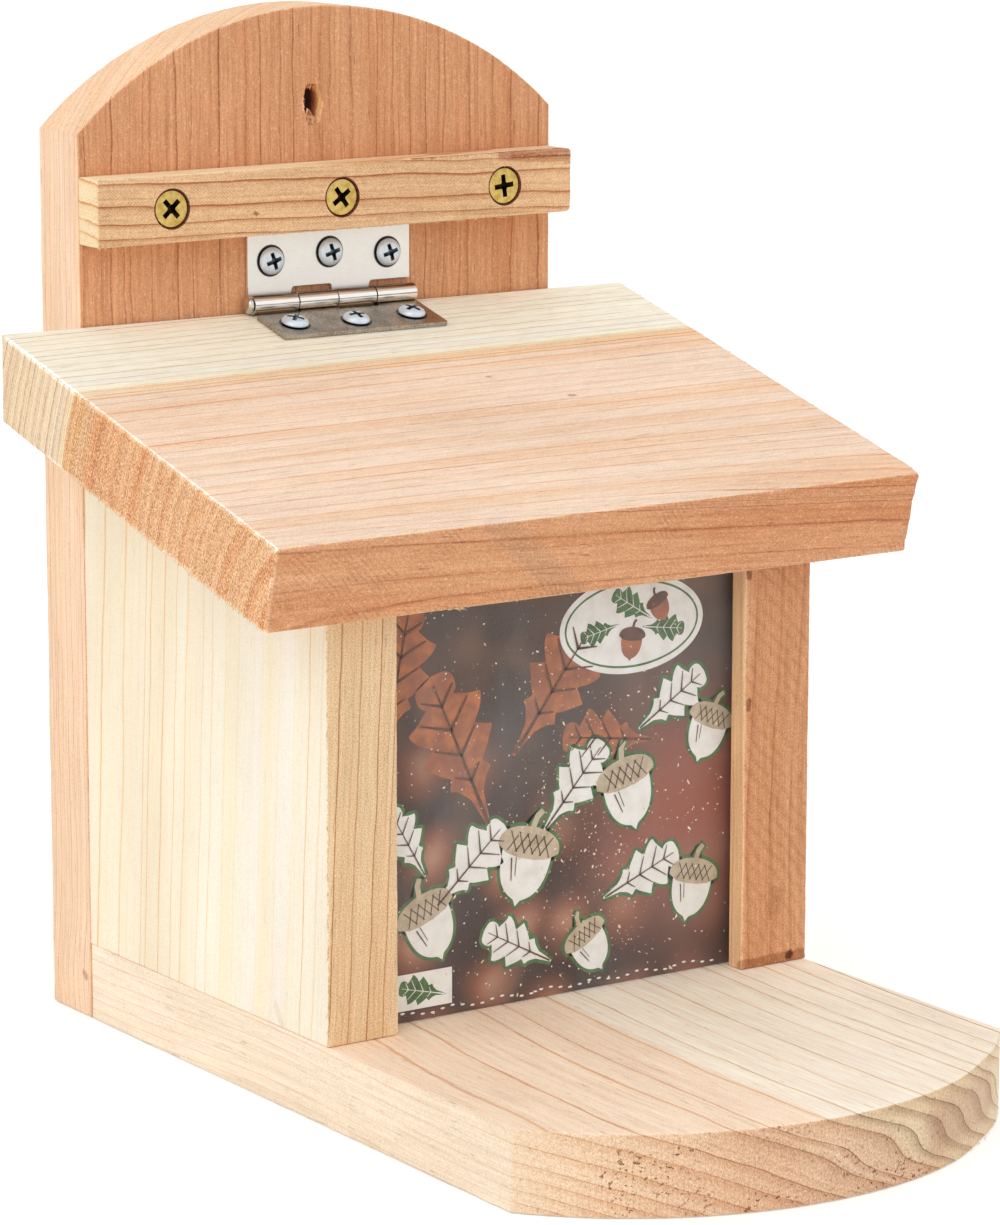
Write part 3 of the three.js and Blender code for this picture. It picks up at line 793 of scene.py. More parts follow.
class FEEDER_OT_back_board(bpy.types.Operator):
    """Make the arched back board with its hanging hole"""

    bl_idname = "feeder.back_board"
    bl_label = "Back board"

    def execute(self, context):
        arris, tear, step, colours = board_settings(context.scene)
        half = BOARD_WIDTH / 2
        arch = [(x, z + shoulder(x), 0) for x, z in bow(BOARD_WIDTH, BACK_HEIGHT, BACK_ARCH_RISE, step)]
        outline = soft_outline([(-half, 0, 0.8), (half, 0, 0.8), *arch], step)
        board = plank(
            "back_board_sawn", outline, BACK_REAR - BACK_FRONT, lambda u, v, w: (u, BACK_FRONT + w, v), arris, tear, 1,
            cross_grain=lambda point, normal: abs(normal.y), wobble=0.12,
        )
        cut(board, [hanging_hole_cutter(), *screw_cutters("back_board")])
        for face in board.data.polygons:
            x, y, z = face.center / MM
            near = math.hypot(x - HOLE_PLACE[0], 0.6 * (z - HOLE_PLACE[1])) < 5
            bored = near and BACK_FRONT + 0.1 < y < BACK_REAR - 0.1
            face.material_index = 1 if bored else 0
        pith = (-640, 960, 0)
        lines = (
            1.7, 10.3, 15.7, 21.7, 29.3, 33.6, 42, 50, 54, 60.3, 64.3, 72.6, 82, 90, 95, 100, 105, 110.7, 118.6, 126.4,
            132, 141,
        )
        radii = ring_radii(Z, pith, [(x - half, BACK_FRONT, 0) for x in lines])
        inner = [radii[0] - 2.2 * step for step in range(7, 0, -1)]
        grain = Grain(
            Z, pith, 3.0, seed=1, wander=0.8, waver=0.8, radii=[*inner, *radii], side_painted_light=2.1, top_painted_light=2.0,
            side_light_tint=(1.0, 0.97, 1.12), top_tint=(1.0, 0.97, 1.1), end_shade=(0.97, 0.93, 0.88), contrast=1.08,
            late_edge=0.9, gaps=0.35, speckle=0.4, fuzz=0.3, side_calm=0.35, swells=[(9, 13, 2.2)], streak=1.25,
            thirds=0.65, core=0.25,
            bands=[(radii[-3] + 2.0, radii[-2], (0.9, 0.82, 0.76), 0.7)],
            saws=[Saw((0, -1, 0), (300, 104, 900), 2.2, 0.02, 0.025)],
            stains_and_painted_light=[
                ((-72.5, 106.5, 10.5), (-72.5, 107.5, 11.5), 1.5, 0.3, (0.72, 0.58, 0.48)),
                # painted highlights: the next two brighten thin lines along the left and right rims of the hanging hole
                ((-5.2, BACK_FRONT, 233.2), (-5.4, BACK_FRONT, 236.0), 0.5, 0.4, (1.35, 1.6, 1.8)),
                ((-0.6, BACK_FRONT, 230.0), (0.45, BACK_FRONT, 235.0), 0.5, 0.4, (1.45, 1.7, 1.9)),
            ],
        )
        cedar = timber("back_board_cedar", grain, colours.heart_early, colours.heart_late)
        dress(board, (cedar, hole_wall_painted_light_and_shade()), "box", "back_timber", "back_board")
        return {"FINISHED"}


HOLE_PLACE = (-2.5, 234.5)


def hole_wall_painted_light_and_shade():
    """Rough timber inside the hanging hole, with painted light and shade: pale at its rim as painted light, dark
    red-brown further in as painted shade.
    """
    r = Recipe("hanging_hole_wall")
    rough = r.noise(r.vector("MULTIPLY", r.spot, (1.2, 0.9, 0.5)), 3.0)
    depth = r.total(r.parts(r.spot)[1], r.times(r.minus(rough, 0.5), 2.4))
    body = r.mix(r.spread(depth, BACK_FRONT + 1.3, BACK_FRONT + 2.2), tint(255, 200, 142), tint(222, 136, 82))
    body = r.mix(r.spread(depth, BACK_FRONT + 2.2, BACK_FRONT + 5.5), body, tint(96, 38, 20))
    return r.finished(body, r.level(rough, 0.75, 0.9), r.times(rough, 0.4))


def shoulder(x):
    """How far the saw left the arch too full, most of all at its right end."""
    return 0.9 * max(0.0, (x - 20) / 52.5) ** 1.5 + 0.4 * max(0.0, (-x - 30) / 42.5)


HOLE_RIM = (
    (-2.1, 5.0), (-2.5, 3.0), (-2.75, 1.5), (-2.6, -0.2), (-2.4, -1.7), (-2.05, -3.2), (-1.7, -4.5), (-1.3, -5.4),
    (-0.2, -5.5), (0.8, -4.9), (1.7, -3.4), (2.3, -1.7), (2.75, 0.4), (2.6, 1.9), (2.05, 3.2), (1.4, 5.0), (-0.4, 5.3),
)


def hanging_hole_cutter():
    """A ragged slot, drilled and torn open, and flared at its right side in front."""
    mesh = bmesh.new()
    rings = []
    outline = []
    for (x0, z0), (x1, z1) in zip(HOLE_RIM, HOLE_RIM[1:] + HOLE_RIM[:1]):
        outline += [(x0, z0), ((x0 + x1) / 2 * 1.02, (z0 + z1) / 2 * 1.02)]
    for row, depth in enumerate((-1, 0.45, 1.3, 2.6, 5, 9, 13, 17, 21)):
        ring = []
        for x, z in outline:
            jag = 1.02 + 0.07 * ripple(40, x * 1.3, z * 1.3, row * 0.7)
            inward = 0.1 * max(0.0, x) if row > 1 else 0.0
            spot = Vector((HOLE_PLACE[0] + x * jag - inward, BACK_FRONT + depth, HOLE_PLACE[1] + z * jag))
            ring.append(mesh.verts.new(spot * MM))
        rings.append(ring)
    capped_wall(mesh, rings)
    return closed(mesh, "hole_cutter")


class FEEDER_OT_base_board(bpy.types.Operator):
    """Make the base board with its bowed front ledge"""

    bl_idname = "feeder.base_board"
    bl_label = "Base board"

    def execute(self, context):
        arris, tear, step, colours = board_settings(context.scene)
        half = BOARD_WIDTH / 2
        arc = [(-x, y + flatter(-x), 0) for x, y in bow(BOARD_WIDTH, -BASE_FRONT, BASE_BOW_RISE, step, down=True)]
        outline = soft_outline([(half, BASE_REAR, 0.6), (-half, BASE_REAR, 0.6), *arc], step)
        board = plank(
            "base_board_sawn", outline, BASE_THICKNESS, lambda u, v, w: (u, v, w), arris, tear, 2,
            chips=[
                Chip((-half, -38), 1, 2.6, 0.8, 0.6), Chip((-half, -8), 0, 3.2, 0.9, 1.1),
                Chip((-half, -24), 0, 2.4, 0.7, 0.8), Chip((-half, -70), 0, 2.2, 0.8, 0.9),
            ],
            cross_grain=lambda point, normal: abs(normal.y), wobble=0.15,
            ease=lambda point, side: 0.35 if side and point.y > PANEL_FRONT else 1.0,
        )
        cut(board, screw_cutters("base_board"))
        pith = (-133.8, 0, -237)
        lines = (-66, -50.5, -30.5, -22.5, -8, 0.5, 12, 22.2, 33.5, 42.5, 47.5, 56.5, 62.5, 70)
        radii = ring_radii(Y, pith, [(x, 0, BASE_THICKNESS) for x in lines])
        inner = [radii[0] - gap for gap in (24, 21, 18.2, 15.4, 12.4, 9.2, 5.0)]
        outer = [radii[-1] + gap for gap in (3.5, 8)]
        grain = Grain(
            Y, pith, 4.5, seed=2, wander=0.9, waver=0.45, radii=[*inner, *radii, *outer],
            heart_edge=radii[4] + 0.3, side_painted_light=1.9, top_painted_light=1.4, top_tint=(1.05, 1.03, 1.1),
            side_light_tint=(1.0, 0.98, 1.02), end_shade=(1.01, 1.02, 1.03), sap_end_shade=(1.0, 0.95, 0.9), end_pits=1.0,
            pits_shade=0.95, end_speckle=0.34, end_fuzz=0.3, end_rings=2.2, sap_end_rings=2.1, end_soft=0.6,
            end_blur=3.5, rim_share=0.25, swells=[(11, 48, -2.6)], bend=(BASE_THICKNESS, 14, -2.3, -35, 20),
            contrast=0.95, late_edge=0.9, faintest=0.6, gaps=0.2, speckle=0.4, side_calm=0.3, top_calm=0.0,
            broad=0.15, core=0.9, side_rings=0.7, grit=(4.0, 2.8, 1.9),
            faded=[(radii[0] - 30, radii[4], 0.85), (radii[4], radii[8], 0.72), (radii[8], radii[-1] + 40, 1.1)],
            stains_and_painted_light=[
                ((-6, -124, 10), (17, -123, 10), 14, 0.2, (1.09, 1.19, 1.3)),
                ((29, -119, 10), (54, -106, 10), 10, 0.3, (0.82, 0.75, 0.78)),
            ],
            saws=[Saw((0, -1, 0), (-4000, -124, 10), 1.1, 0.05, 0.09, 0.2)],
        )
        tones = colours.base_early, colours.base_late, colours.sap_early, colours.sap_late
        dress(board, [timber("base_board_cedar", grain, *tones)], "box", "base_timber", "base_board")
        return {"FINISHED"}


def flatter(x):
    """How far the bow falls short of a true arc, near its right end."""
    return 1.0 * math.exp(-(((x - 52) / 12) ** 2))


class FEEDER_OT_side_panels(bpy.types.Operator):
    """Make the two side panels with their grooves"""

    bl_idname = "feeder.side_panels"
    bl_label = "Side panels"

    def execute(self, context):
        arris, tear, step, colours = board_settings(context.scene)
        slope = math.tan(LID_SLOPE)
        front_top = PANEL_REAR_TOP - (BASE_REAR - PANEL_FRONT) * slope
        corners = [
            (PANEL_FRONT, PANEL_FOOT, 0.6), (BASE_REAR, PANEL_FOOT, 0.6), (BASE_REAR, PANEL_REAR_TOP, 0.6),
            (PANEL_FRONT, front_top, 0.6),
        ]
        for side, sign, seed in (("left", -1, 3), ("right", 1, 4)):
            outline = soft_outline(corners, step)
            thickness = PANEL_THICKNESS if sign < 0 else PANEL_THICKNESS + 0.5
            low = sign * BOARD_WIDTH / 2 if sign < 0 else BOARD_WIDTH / 2 - thickness
            panel = plank(
                f"side_panel_{side}_sawn", outline, thickness, lambda u, v, w, x=low: (x + w, u, v),
                arris, tear, seed, cross_grain=lambda point, normal: 0.25 + 0.75 * abs(normal.y),
                ease=lambda point, side: 0.35 if point.y < PANEL_FOOT + 1 else 1.0,
            )
            inner = sign * (BOARD_WIDTH / 2 - PANEL_THICKNESS)
            left, right = (inner - 1, inner + GROOVE_DEPTH) if sign > 0 else (inner - GROOVE_DEPTH, inner + 1)
            groove = block_cutter((left, GROOVE_FRONT, 0), (right, GROOVE_FRONT + GROOVE_WIDTH, 200))
            cut(panel, [groove, *screw_cutters(f"side_panel_{side}")])
            if sign < 0:
                material = timber("left_panel_cedar", pale_grain(), colours.pale_early, colours.pale_late)
            else:
                material = timber("right_panel_cedar", salmon_grain(), colours.heart_early, colours.heart_late)
            dress(panel, [material], "box", "pale_timber" if sign < 0 else "side_timber", f"side_panel_{side}")
        return {"FINISHED"}


def pale_grain():
    """The left panel, cream with pink flushes towards its rear edge."""
    along, pith = (0.033, -0.025, 1), (2400, -1830, 0)
    lines = (3, 8.5, 15, 22, 30, 34, 41, 47, 53.5, 58, 66, 71, 77, 83.5, 86, 97, 108)
    spots = [(-BOARD_WIDTH / 2, PANEL_FRONT + gap, 90) for gap in lines]
    spots += [(gap - BOARD_WIDTH / 2, PANEL_FRONT, 90) for gap in (19, 14.4, 8.9, 3.2)]
    radii = ring_radii(along, pith, spots)
    pink = (1.0, 0.9, 0.87)
    return Grain(
        along, pith, 3.9, seed=5, wander=0.7, waver=0.55, radii=radii, side_painted_light=2.0, contrast=1.15,
        late_edge=0.9, side_light_tint=(1.0, 0.97, 1.0), streak=0.8, gaps=0.15, side_calm=0.75,
        speckle=0.7, fuzz=0.4, broad=0.3, faintest=0.5, core=0.3,
        faded=[(radii[6] - 3, radii[12] - 2, 0.35)],
        bands=[
            (radii[13], radii[14], pink, 0.8), (radii[15], radii[-1] + 20, pink, 1.0),
            (radii[6], radii[7], (0.97, 1.01, 1.12), 1.0), (radii[8], radii[9], (0.96, 1.01, 1.13), 1.0),
            (radii[7] + 2, radii[8] - 1, (1.0, 0.94, 0.82), 0.9),
            (radii[10], radii[11], (1.0, 0.95, 0.84), 0.9),
        ],
        stains_and_painted_light=[((-72.5, 9.5, 21), (-72.5, 12.0, 25), 1.8, 0.3, (0.93, 0.87, 0.8))],
    )


def salmon_grain():
    """The right panel, coarsely sawn, with a bruised foot."""
    torn = (0.66, 0.56, 0.5)
    return Grain(
        Z, (500, 900, 0), 3.2, seed=6, wander=3.0, waver=0.6, contrast=0.6, speckle=0.6, fuzz=0.25,
        saws=[Saw((0, -1, 0), (-340, -12, -300), 3.2, 0.06, 0.14, 0.35)],
        stains_and_painted_light=[
            # painted highlight: a lighter line along the inner arris
            ((52, -12, 21), (52, -12, 150), 1.3, 0.4, (1.12, 1.2, 1.3)),
            ((51, -12, 20.4), (74, -12, 20.8), 2.6, 0.7, torn),
            ((67, -12, 21.6), (67.6, -12, 22.2), 1.3, 0.5, (0.3, 0.22, 0.18)),
            ((62, -12, 34), (62.6, -12, 39), 3.0, 0.2, (0.84, 0.78, 0.74)),
            ((53, -12, 122), (53, -12, 125), 1.2, 0.5, (0.5, 0.4, 0.34)),
            ((53.2, -12, 88), (53.2, -12, 90), 1.0, 0.5, (0.5, 0.4, 0.34)),
        ],
    )


def block_cutter(low, high):
    """A box between two corners, in millimetres."""
    mesh = bmesh.new()
    bmesh.ops.create_cube(mesh, size=1.0)
    for vertex in mesh.verts:
        share = vertex.co + Vector((0.5, 0.5, 0.5))
        vertex.co = Vector([a + (b - a) * s for a, b, s in zip(low, high, share)]) * MM
    return to_object(mesh, "block_cutter")


class FEEDER_OT_batten(bpy.types.Operator):
    """Make the batten above the hinge"""

    bl_idname = "feeder.batten"
    bl_label = "Batten"

    def execute(self, context):
        arris, tear, step, colours = board_settings(context.scene)
        half = BOARD_WIDTH / 2
        top = BATTEN_FOOT + BATTEN_HEIGHT
        corners = [
            (-half, BATTEN_FOOT - 0.2, 0.5), (half, BATTEN_FOOT + 0.5, 1.6), (half, top + 0.4, 1.3), (-half, top, 0.5)
        ]
        outline = soft_outline(corners, step)
        front = BASE_REAR - BATTEN_DEPTH
        strip = plank(
            "batten_sawn", outline, BATTEN_DEPTH, lambda u, v, w: (u, front + w, v), arris, tear, 7,
            cross_grain=lambda point, normal: 0.2 + 0.8 * abs(normal.x),
            ease=lambda point, side: 0.5 if point.x < 1 - half else 1.0,
        )
        cut(strip, screw_cutters("batten"))
        along, pith = (1, 0, -0.03), (0, 106, 150)
        spots = [(0, front, top - drop) for drop in (16.9, 13.3, 9, 3.1, -0.5)]
        middle = BATTEN_FOOT + BATTEN_HEIGHT / 2
        screw_spots = (-BATTEN_SCREW_STEP, 0, BATTEN_SCREW_STEP)
        grain = Grain(
            along, pith, 4.6, seed=8, wander=1.0, waver=0.9, radii=ring_radii(along, pith, spots), side_painted_light=1.0,
            top_painted_light=0.9, contrast=1.3, late_edge=0.72, speckle=0.5, gaps=0.3, faintest=0.7, fuzz=0.3, broad=0.2,
            core=0.45, end_shade=(1.0, 0.97, 0.92), saws=[Saw((0, -1, 0), (500, 94, 800), 0.62, 0.04, 0.2, 0.45)],
            stains_and_painted_light=[
                # painted shadow: a dark ring in the countersink round each screw's head
                *[((x, front, middle), (x, front + 1, middle), 5.35, 0.97, (0.16, 0.06, 0.03)) for x in screw_spots],
                ((4.3, front, middle + 1.4), (4.6, front, middle - 1.0), 0.9, 0.5, (0.6, 0.36, 0.22)),
                ((22, front + 0.6, top + 0.2), (74, front + 1.2, top + 0.4), 0.95, 0.3, (0.46, 0.28, 0.22)),
                ((50, front + 0.4, top), (74, front + 0.6, top), 2.1, 0.4, (0.66, 0.48, 0.46)),
                ((34, 100, top + 0.4), (74, 98, top + 0.4), 4.5, 0.4, (0.9, 0.78, 0.74)),
                ((54, front, top - 1.2), (74, front, top - 2.6), 1.3, 0.5, (0.74, 0.6, 0.5)),
                ((-26.5, front, top - 11), (-26, front, top - 11.3), 0.8, 0.4, (0.55, 0.42, 0.34)),
            ],
        )
        cedar = timber("batten_cedar", grain, colours.batten_early, colours.batten_late)
        dress(strip, [cedar], "box", "batten_timber", "batten")
        return {"FINISHED"}


class FEEDER_OT_lid(bpy.types.Operator):
    """Make the sloping lid board"""

    bl_idname = "feeder.lid"
    bl_label = "Lid board"

    def execute(self, context):
        arris, tear, step, colours = board_settings(context.scene)
        half = LID_WIDTH / 2
        outline = soft_outline(
            [(-half, -LID_LENGTH, 0.8), (half, -LID_LENGTH, 2.0), (half, 0, 0.8), (-half, 0, 0.8)], step
        )
        forward, upward = LID_FORWARD, LID_UPWARD
        undercut = math.tan(LID_SLOPE)

        def place(u, v, w):
            near_rear = max(0.0, 1 + v / 12)
            depth = -v + (LID_THICKNESS - w) * undercut * near_rear
            spot = LID_REAR_EDGE + forward * depth - upward * (LID_THICKNESS - w)
            return spot.x + u, spot.y, spot.z

        board = plank(
            "lid_board_sawn", outline, LID_THICKNESS, place, arris, tear, 9,
            chips=[
                Chip((-half, -83), 1, 2.2, 1.3, 1.1), Chip((half, -LID_LENGTH), 1, 5.0, 2.0, 1.7),
                Chip((-42, -LID_LENGTH), 0, 3.4, 1.2, 1.4), Chip((38, -LID_LENGTH), 0, 2.4, 1.0, 1.2),
            ],
            cross_grain=lambda point, normal: abs(normal.x) if normal.x < 0 else 0.5 * abs(normal.x),
            hollow=lambda normal, run, level: max(0.0, normal.x) * 0.8 * (0.5 + ripple(31, level * 0.3, run * 0.02)),
        )
        cut(board, screw_cutters("lid_board"))
        pith = LID_REAR_EDGE + forward * (LID_LENGTH + 12) - upward * 30
        along = X - forward * 0.053 - upward * 0.085
        radii, chance = [13.2, 16.4, 19.9, 26.8, 32.1, 33.2, 35.8], random.Random(4)
        while radii[-1] < 165:
            radii.append(radii[-1] + (4.4 if radii[-1] < 108 else 3.1) * chance.uniform(0.7, 1.3))
        grey, pale = (0.9, 0.95, 1.0), (1.22, 1.45, 1.75)
        corners = [lid_spot(-half, 3, 0), lid_spot(-half, LID_LENGTH, 0), lid_spot(-half, LID_LENGTH, LID_THICKNESS)]
        grain = Grain(
            along, pith, 4.4, seed=9, wander=1.0, waver=0.45, unevenness=0.3, flush=(0.84, 0.64, 0.48),
            radii=radii, heart_edge=115.2, side_painted_light=0.75, core=0.3,
            faded=[(8, 35, 0.85), (115.5, 180, 1.5)], rim=4.9, rim_share=0.85, grit=(2.8, 4.6, 1.8),
            top_painted_light=2.2, top_tint=(0.95, 0.98, 1.25), sap_top_tint=(0.97, 0.97, 0.99), contrast=1.25,
            end_shade=(1.0, 0.92, 0.81), sap_end_shade=(1.03, 0.93, 0.89), end_speckle=1.1, end_fuzz=1.4,
            end_rings=0.6, sap_end_rings=0.95, end_soft=0.36, fuzz=0.35, sap_calm=0.22, end_streak=3.0,
            late_edge=0.86, speckle=0.6, gaps=0.45, broad=0.5,
            bands=[
                (109.6, 116.2, (1.0, 1.0, 0.84), 0.45), (110.8, 115.0, (1.0, 1.01, 0.86), 0.4),
                (115.6, 118.2, (1.0, 0.96, 0.84), 0.4), (118.6, 122.5, (0.96, 1.0, 1.1), 0.8),
            ],
            saws=[
                Saw((0, -0.97, -0.26), (-260, -30, -60), 1.3, 0.04, 0.16, 0.02),
                Saw((-1, 0, 0), (-95, -3750, -1370), 0.9, 0.03, 0.14, 0.3),
            ],
            stains_and_painted_light=[
                # the left end's arrises are brightened, partly as pale torn fibre and partly as a painted highlight;
                # the front top arris below is a painted highlight
                *[(a, b, 1.1, 0.4, pale) for a, b in zip(corners, corners[1:])],
                (lid_spot(-half, 30, LID_THICKNESS), corners[2], 1.3, 0.3, pale),
                (corners[1], lid_spot(half, LID_LENGTH, 0), 0.9, 0.3, (1.07, 1.14, 1.2)),
                (lid_spot(40, LID_LENGTH, 13), lid_spot(half, LID_LENGTH, 9), 24.0, 0.1, (0.96, 0.88, 0.84)),
                (lid_spot(-34, LID_LENGTH, 0), lid_spot(-9, LID_LENGTH, 21), 4.4, 0.5, grey),
                (lid_spot(-30, LID_LENGTH - 3, 0), lid_spot(-36, LID_LENGTH - 14, 0), 3.4, 0.2, (1.0, 1.02, 1.06)),
                (lid_spot(32, 69, 0), lid_spot(33.4, 69, 0), 0.9, 0.3, (0.62, 0.5, 0.42)),
                (lid_spot(17, 53, 0), lid_spot(18, 53, 0), 0.8, 0.3, (0.7, 0.58, 0.5)),
            ],
        )
        tones = colours.heart_early, colours.heart_late, colours.sap_early, colours.sap_late
        dress(board, [timber("lid_board_cedar", grain, *tones)], "lid", "lid_timber", "lid_board")
        return {"FINISHED"}


# Fixings

Screw = namedtuple("Screw", "shank length head head_height rim tip")
SCREW_KINDS = {
    "batten": Screw(shank=2.2, length=25, head=4.7, head_height=3, rim=0.5, tip=5),
    "frame": Screw(shank=2.0, length=40, head=4.2, head_height=2.8, rim=0.4, tip=5),
    "hinge": Screw(shank=1.8, length=16, head=3.6, head_height=1.7, rim=0.6, tip=4),
}


def screws():
    """Every screw: its name, kind, place of its head's rim, direction, and the boards it passes through."""
    made = []
    height = BATTEN_FOOT + BATTEN_HEIGHT / 2
    for index, x in enumerate((-BATTEN_SCREW_STEP, 0, BATTEN_SCREW_STEP), 1):
        place = (x, BASE_REAR - BATTEN_DEPTH + BATTEN_SINK, height)
        made.append((f"batten_screw_{index}", "batten", place, Y, ("batten", "back_board")))
    for side, sign in (("left", -1), ("right", 1)):
        for index, share in enumerate((0.2, 0.8), 1):
            place = (sign * PANEL_MIDDLE, BACK_REAR - FRAME_SINK, PANEL_FOOT + PANEL_HEIGHT * share)
            made.append((f"back_screw_{side}_{index}", "frame", place, -Y, ("back_board", f"side_panel_{side}")))
        place = (sign * FOOT_SCREW_OFFSET, BACK_REAR - FRAME_SINK, BASE_THICKNESS / 2)
        made.append((f"foot_screw_{side}", "frame", place, -Y, ("back_board", "base_board")))
        for index, share in enumerate((0.25, 0.75), 1):
            place = (sign * PANEL_MIDDLE, BACK_FRONT - PANEL_DEPTH * share, FRAME_SINK)
            made.append((f"base_screw_{side}_{index}", "frame", place, Z, ("base_board", f"side_panel_{side}")))
    for index, (across, reach) in enumerate(HINGE_SCREW_SPOTS, 1):
        upper = (PIN_AXIS.x + across, BACK_FRONT - PAN_STANDOFF, PIN_AXIS.z + reach)
        made.append((f"hinge_screw_upper_{index}", "hinge", upper, Y, ("back_board",)))
        lower = PIN_AXIS + LID_FORWARD * reach - LID_UPWARD * (PIN_STANDOFF - PAN_STANDOFF) + X * across
        made.append((f"hinge_screw_lower_{index}", "hinge", tuple(lower), -LID_UPWARD, ("lid_board",)))
    return made


def screw_cutters(board):
    """The holes for all the screws that pass through a board."""
    return [screw_cutter(kind, place, direction) for _, kind, place, direction, boards in screws() if board in boards]


def screw_cutter(kind, place, direction):
    """The hole that a screw sits in, a little wider than the screw."""
    k = SCREW_KINDS[kind]
    gap = 0.3
    shank, head = k.shank + gap, k.head + gap
    matrix = aimed(place, -Vector(direction))
    if kind == "hinge":
        profile = [(0, -k.length - gap), (shank, k.tip - k.length), (shank, 4), (0, 4)]
    else:
        profile = [
            (0, -k.length - gap), (shank, k.tip - k.length), (shank, -k.head_height), (head, -k.rim),
            (head, 2.4), (0, 2.4),
        ]
    return turned("screw_cutter", profile, matrix, sides=32)


def threaded(kind):
    """The radius of a screw's shank with its thread."""
    k = SCREW_KINDS[kind]
    pitch, ridge = (2.0, 0.42) if kind != "hinge" else (1.4, 0.34)
    low, high = k.tip * 0.3 - k.length, -k.head_height - 1.5

    def shape(radius, height, angle):
        if not low < height < high or radius > k.shank:
            return radius, height
        fade = min(1, (height - low) / 1.5, (high - height) / 1.5)
        turn = (height / pitch - angle / (2 * math.pi)) % 1
        crest = max(0.0, 1 - abs(turn - 0.5) / 0.22)
        return radius - ridge * fade * (1 - crest), height

    return shape


def screw_mesh(kind, name, matrix, recess_turn):
    """A screw with its thread, its head and a tapered cross recess."""
    k = SCREW_KINDS[kind]
    shank, head, rise = k.shank, k.head, k.head_height
    rows = round(k.length / 0.35)
    start, end = k.tip - k.length, (0 if kind == "hinge" else -rise)
    shaft = [(shank * 0.97, start + (end - start) * row / rows) for row in range(rows)]
    tip = [(shank * share, k.tip * share - k.length) for share in (0, 0.3, 0.7)]
    if kind == "hinge":
        top = [
            (shank, 0), (head * 0.93, 0), (head, 0.1), (head, 0.34), (head * 0.975, 0.62), (head * 0.9, 0.98),
            (head * 0.76, 1.32), (head * 0.56, 1.56), (head * 0.32, 1.67), (0, rise),
        ]
    else:
        top = [
            (shank, -rise), (head * 0.98, -k.rim), (head, -k.rim * 0.6), (head, -0.14), (head * 0.985, -0.04),
            (head * 0.95, 0), (head * 0.4, 0), (0, 0),
        ]
    screw = turned(name, tip + shaft + top, matrix, sides=36, shape=threaded(kind))
    spin = matrix @ Matrix.Rotation(recess_turn, 4, "Z")
    span, width, depth, level = (4.8, 1.1, 1.6, rise - 0.1) if kind == "hinge" else (6.0, 1.35, 2.1, 0)
    lift = spin @ Matrix.Translation((0, 0, level * MM))
    arms = [block_arm(span, width, depth, lift, turn) for turn in (0, math.pi / 2)]
    core = [(0, -depth - 0.5), (width * 0.55, -depth), (width * 0.95, 0.5), (0, 0.5)]
    centre = turned("recess_core", core, lift, sides=24)
    cut(screw, [*arms, centre], smooth_angle=32)
    shadow_recess(screw, spin.inverted(), span, depth, level)
    return screw


def shadow_recess(screw, back, span, depth, level):
    """Puts the faces inside a recess on the second finish, whose dark colour is painted shade."""
    for face in screw.data.polygons:
        spot, facing = back @ face.center / MM, back.to_3x3() @ face.normal
        inside = math.hypot(spot.x, spot.y) < 0.52 * span and -depth - 0.6 < spot.z - level < -0.06
        steep = facing.normalized().z < 0.86 or spot.z - level < -0.9 * depth
        face.material_index = 1 if inside and steep else 0


def block_arm(span, width, depth, matrix, turn):
    """One tapered bar of a cross recess."""
    mesh = bmesh.new()
    spin = Matrix.Rotation(turn, 3, "Z")
    rings = []
    for level, share, narrow in ((0.5, 1.0, 1.0), (0, 1.0, 1.0), (-depth, 0.45, 0.7)):
        signs = ((-1, -1), (1, -1), (1, 1), (-1, 1))
        ring = [Vector((sx * 0.5 * span * share, sy * 0.5 * width * narrow, level)) for sx, sy in signs]
        rings.append([mesh.verts.new(matrix @ ((spin @ corner) * MM)) for corner in ring])
    capped_wall(mesh, rings)
    return closed(mesh, "recess_arm")


def plated(name, base, roughness, stain, stain_amount, metallic=1.0):
    """Plated metal with faint clouding and fine scratches."""
    r = Recipe(name)
    cloud = r.noise(r.spot, 3.0, scale=0.55)
    fine = r.noise(r.spot, 2.0, scale=6.0)
    body = r.mix(r.times(r.spread(cloud, 0.35, 0.7), stain_amount), base, stain)
    body = r.vector("SCALE", body, scale=r.spread(fine, 0.0, 1.0, 0.93, 1.07, smooth=False))
    rough = r.level(fine, roughness - 0.07, roughness + 0.09)
    return r.finished(body, rough, r.times(fine, 0.012), Metallic=metallic)


class FEEDER_OT_screws(bpy.types.Operator):
    """Make every screw, with its thread and cross recess"""

    bl_idname = "feeder.screws"
    bl_label = "Screws"

    def execute(self, context):
        colours = context.scene.feeder_colours
        yellow = plated("yellow_zinc_plating", colours.yellow_zinc, 0.3, tint(180, 142, 60), 0.8)
        bright = plated("bright_zinc_plating", colours.bright_zinc, 0.34, tint(196, 210, 224), 0.5, 0.35)
        # the recess finishes are dark: painted shade inside the cross recesses
        yellow_recess_shade = plated("yellow_zinc_recess_painted_shade", tint(62, 42, 22), 0.5, tint(26, 16, 8), 0.7)
        bright_recess_shade = plated("bright_zinc_recess_painted_shade", tint(112, 126, 134), 0.4, tint(44, 54, 62), 0.8)
        turns = {"batten_screw_1": 0.75, "batten_screw_2": 0.62, "batten_screw_3": 0.12}
        chance = random.Random(5)
        for name, kind, place, direction, _ in screws():
            spare = chance.uniform(0, math.pi / 2)
            turn = turns.get(name, 0.3 if kind == "hinge" and "upper" in name else spare)
            screw = screw_mesh(kind, f"{name}_threaded", aimed(place, -Vector(direction)), turn)
            plating, recess = (bright, bright_recess_shade) if kind == "hinge" else (yellow, yellow_recess_shade)
            slot = "bright_zinc" if kind == "hinge" else "yellow_zinc"
            dress(screw, (plating, recess), "lid" if "lower" in name else "box", slot, name)
        return {"FINISHED"}


# Hinge

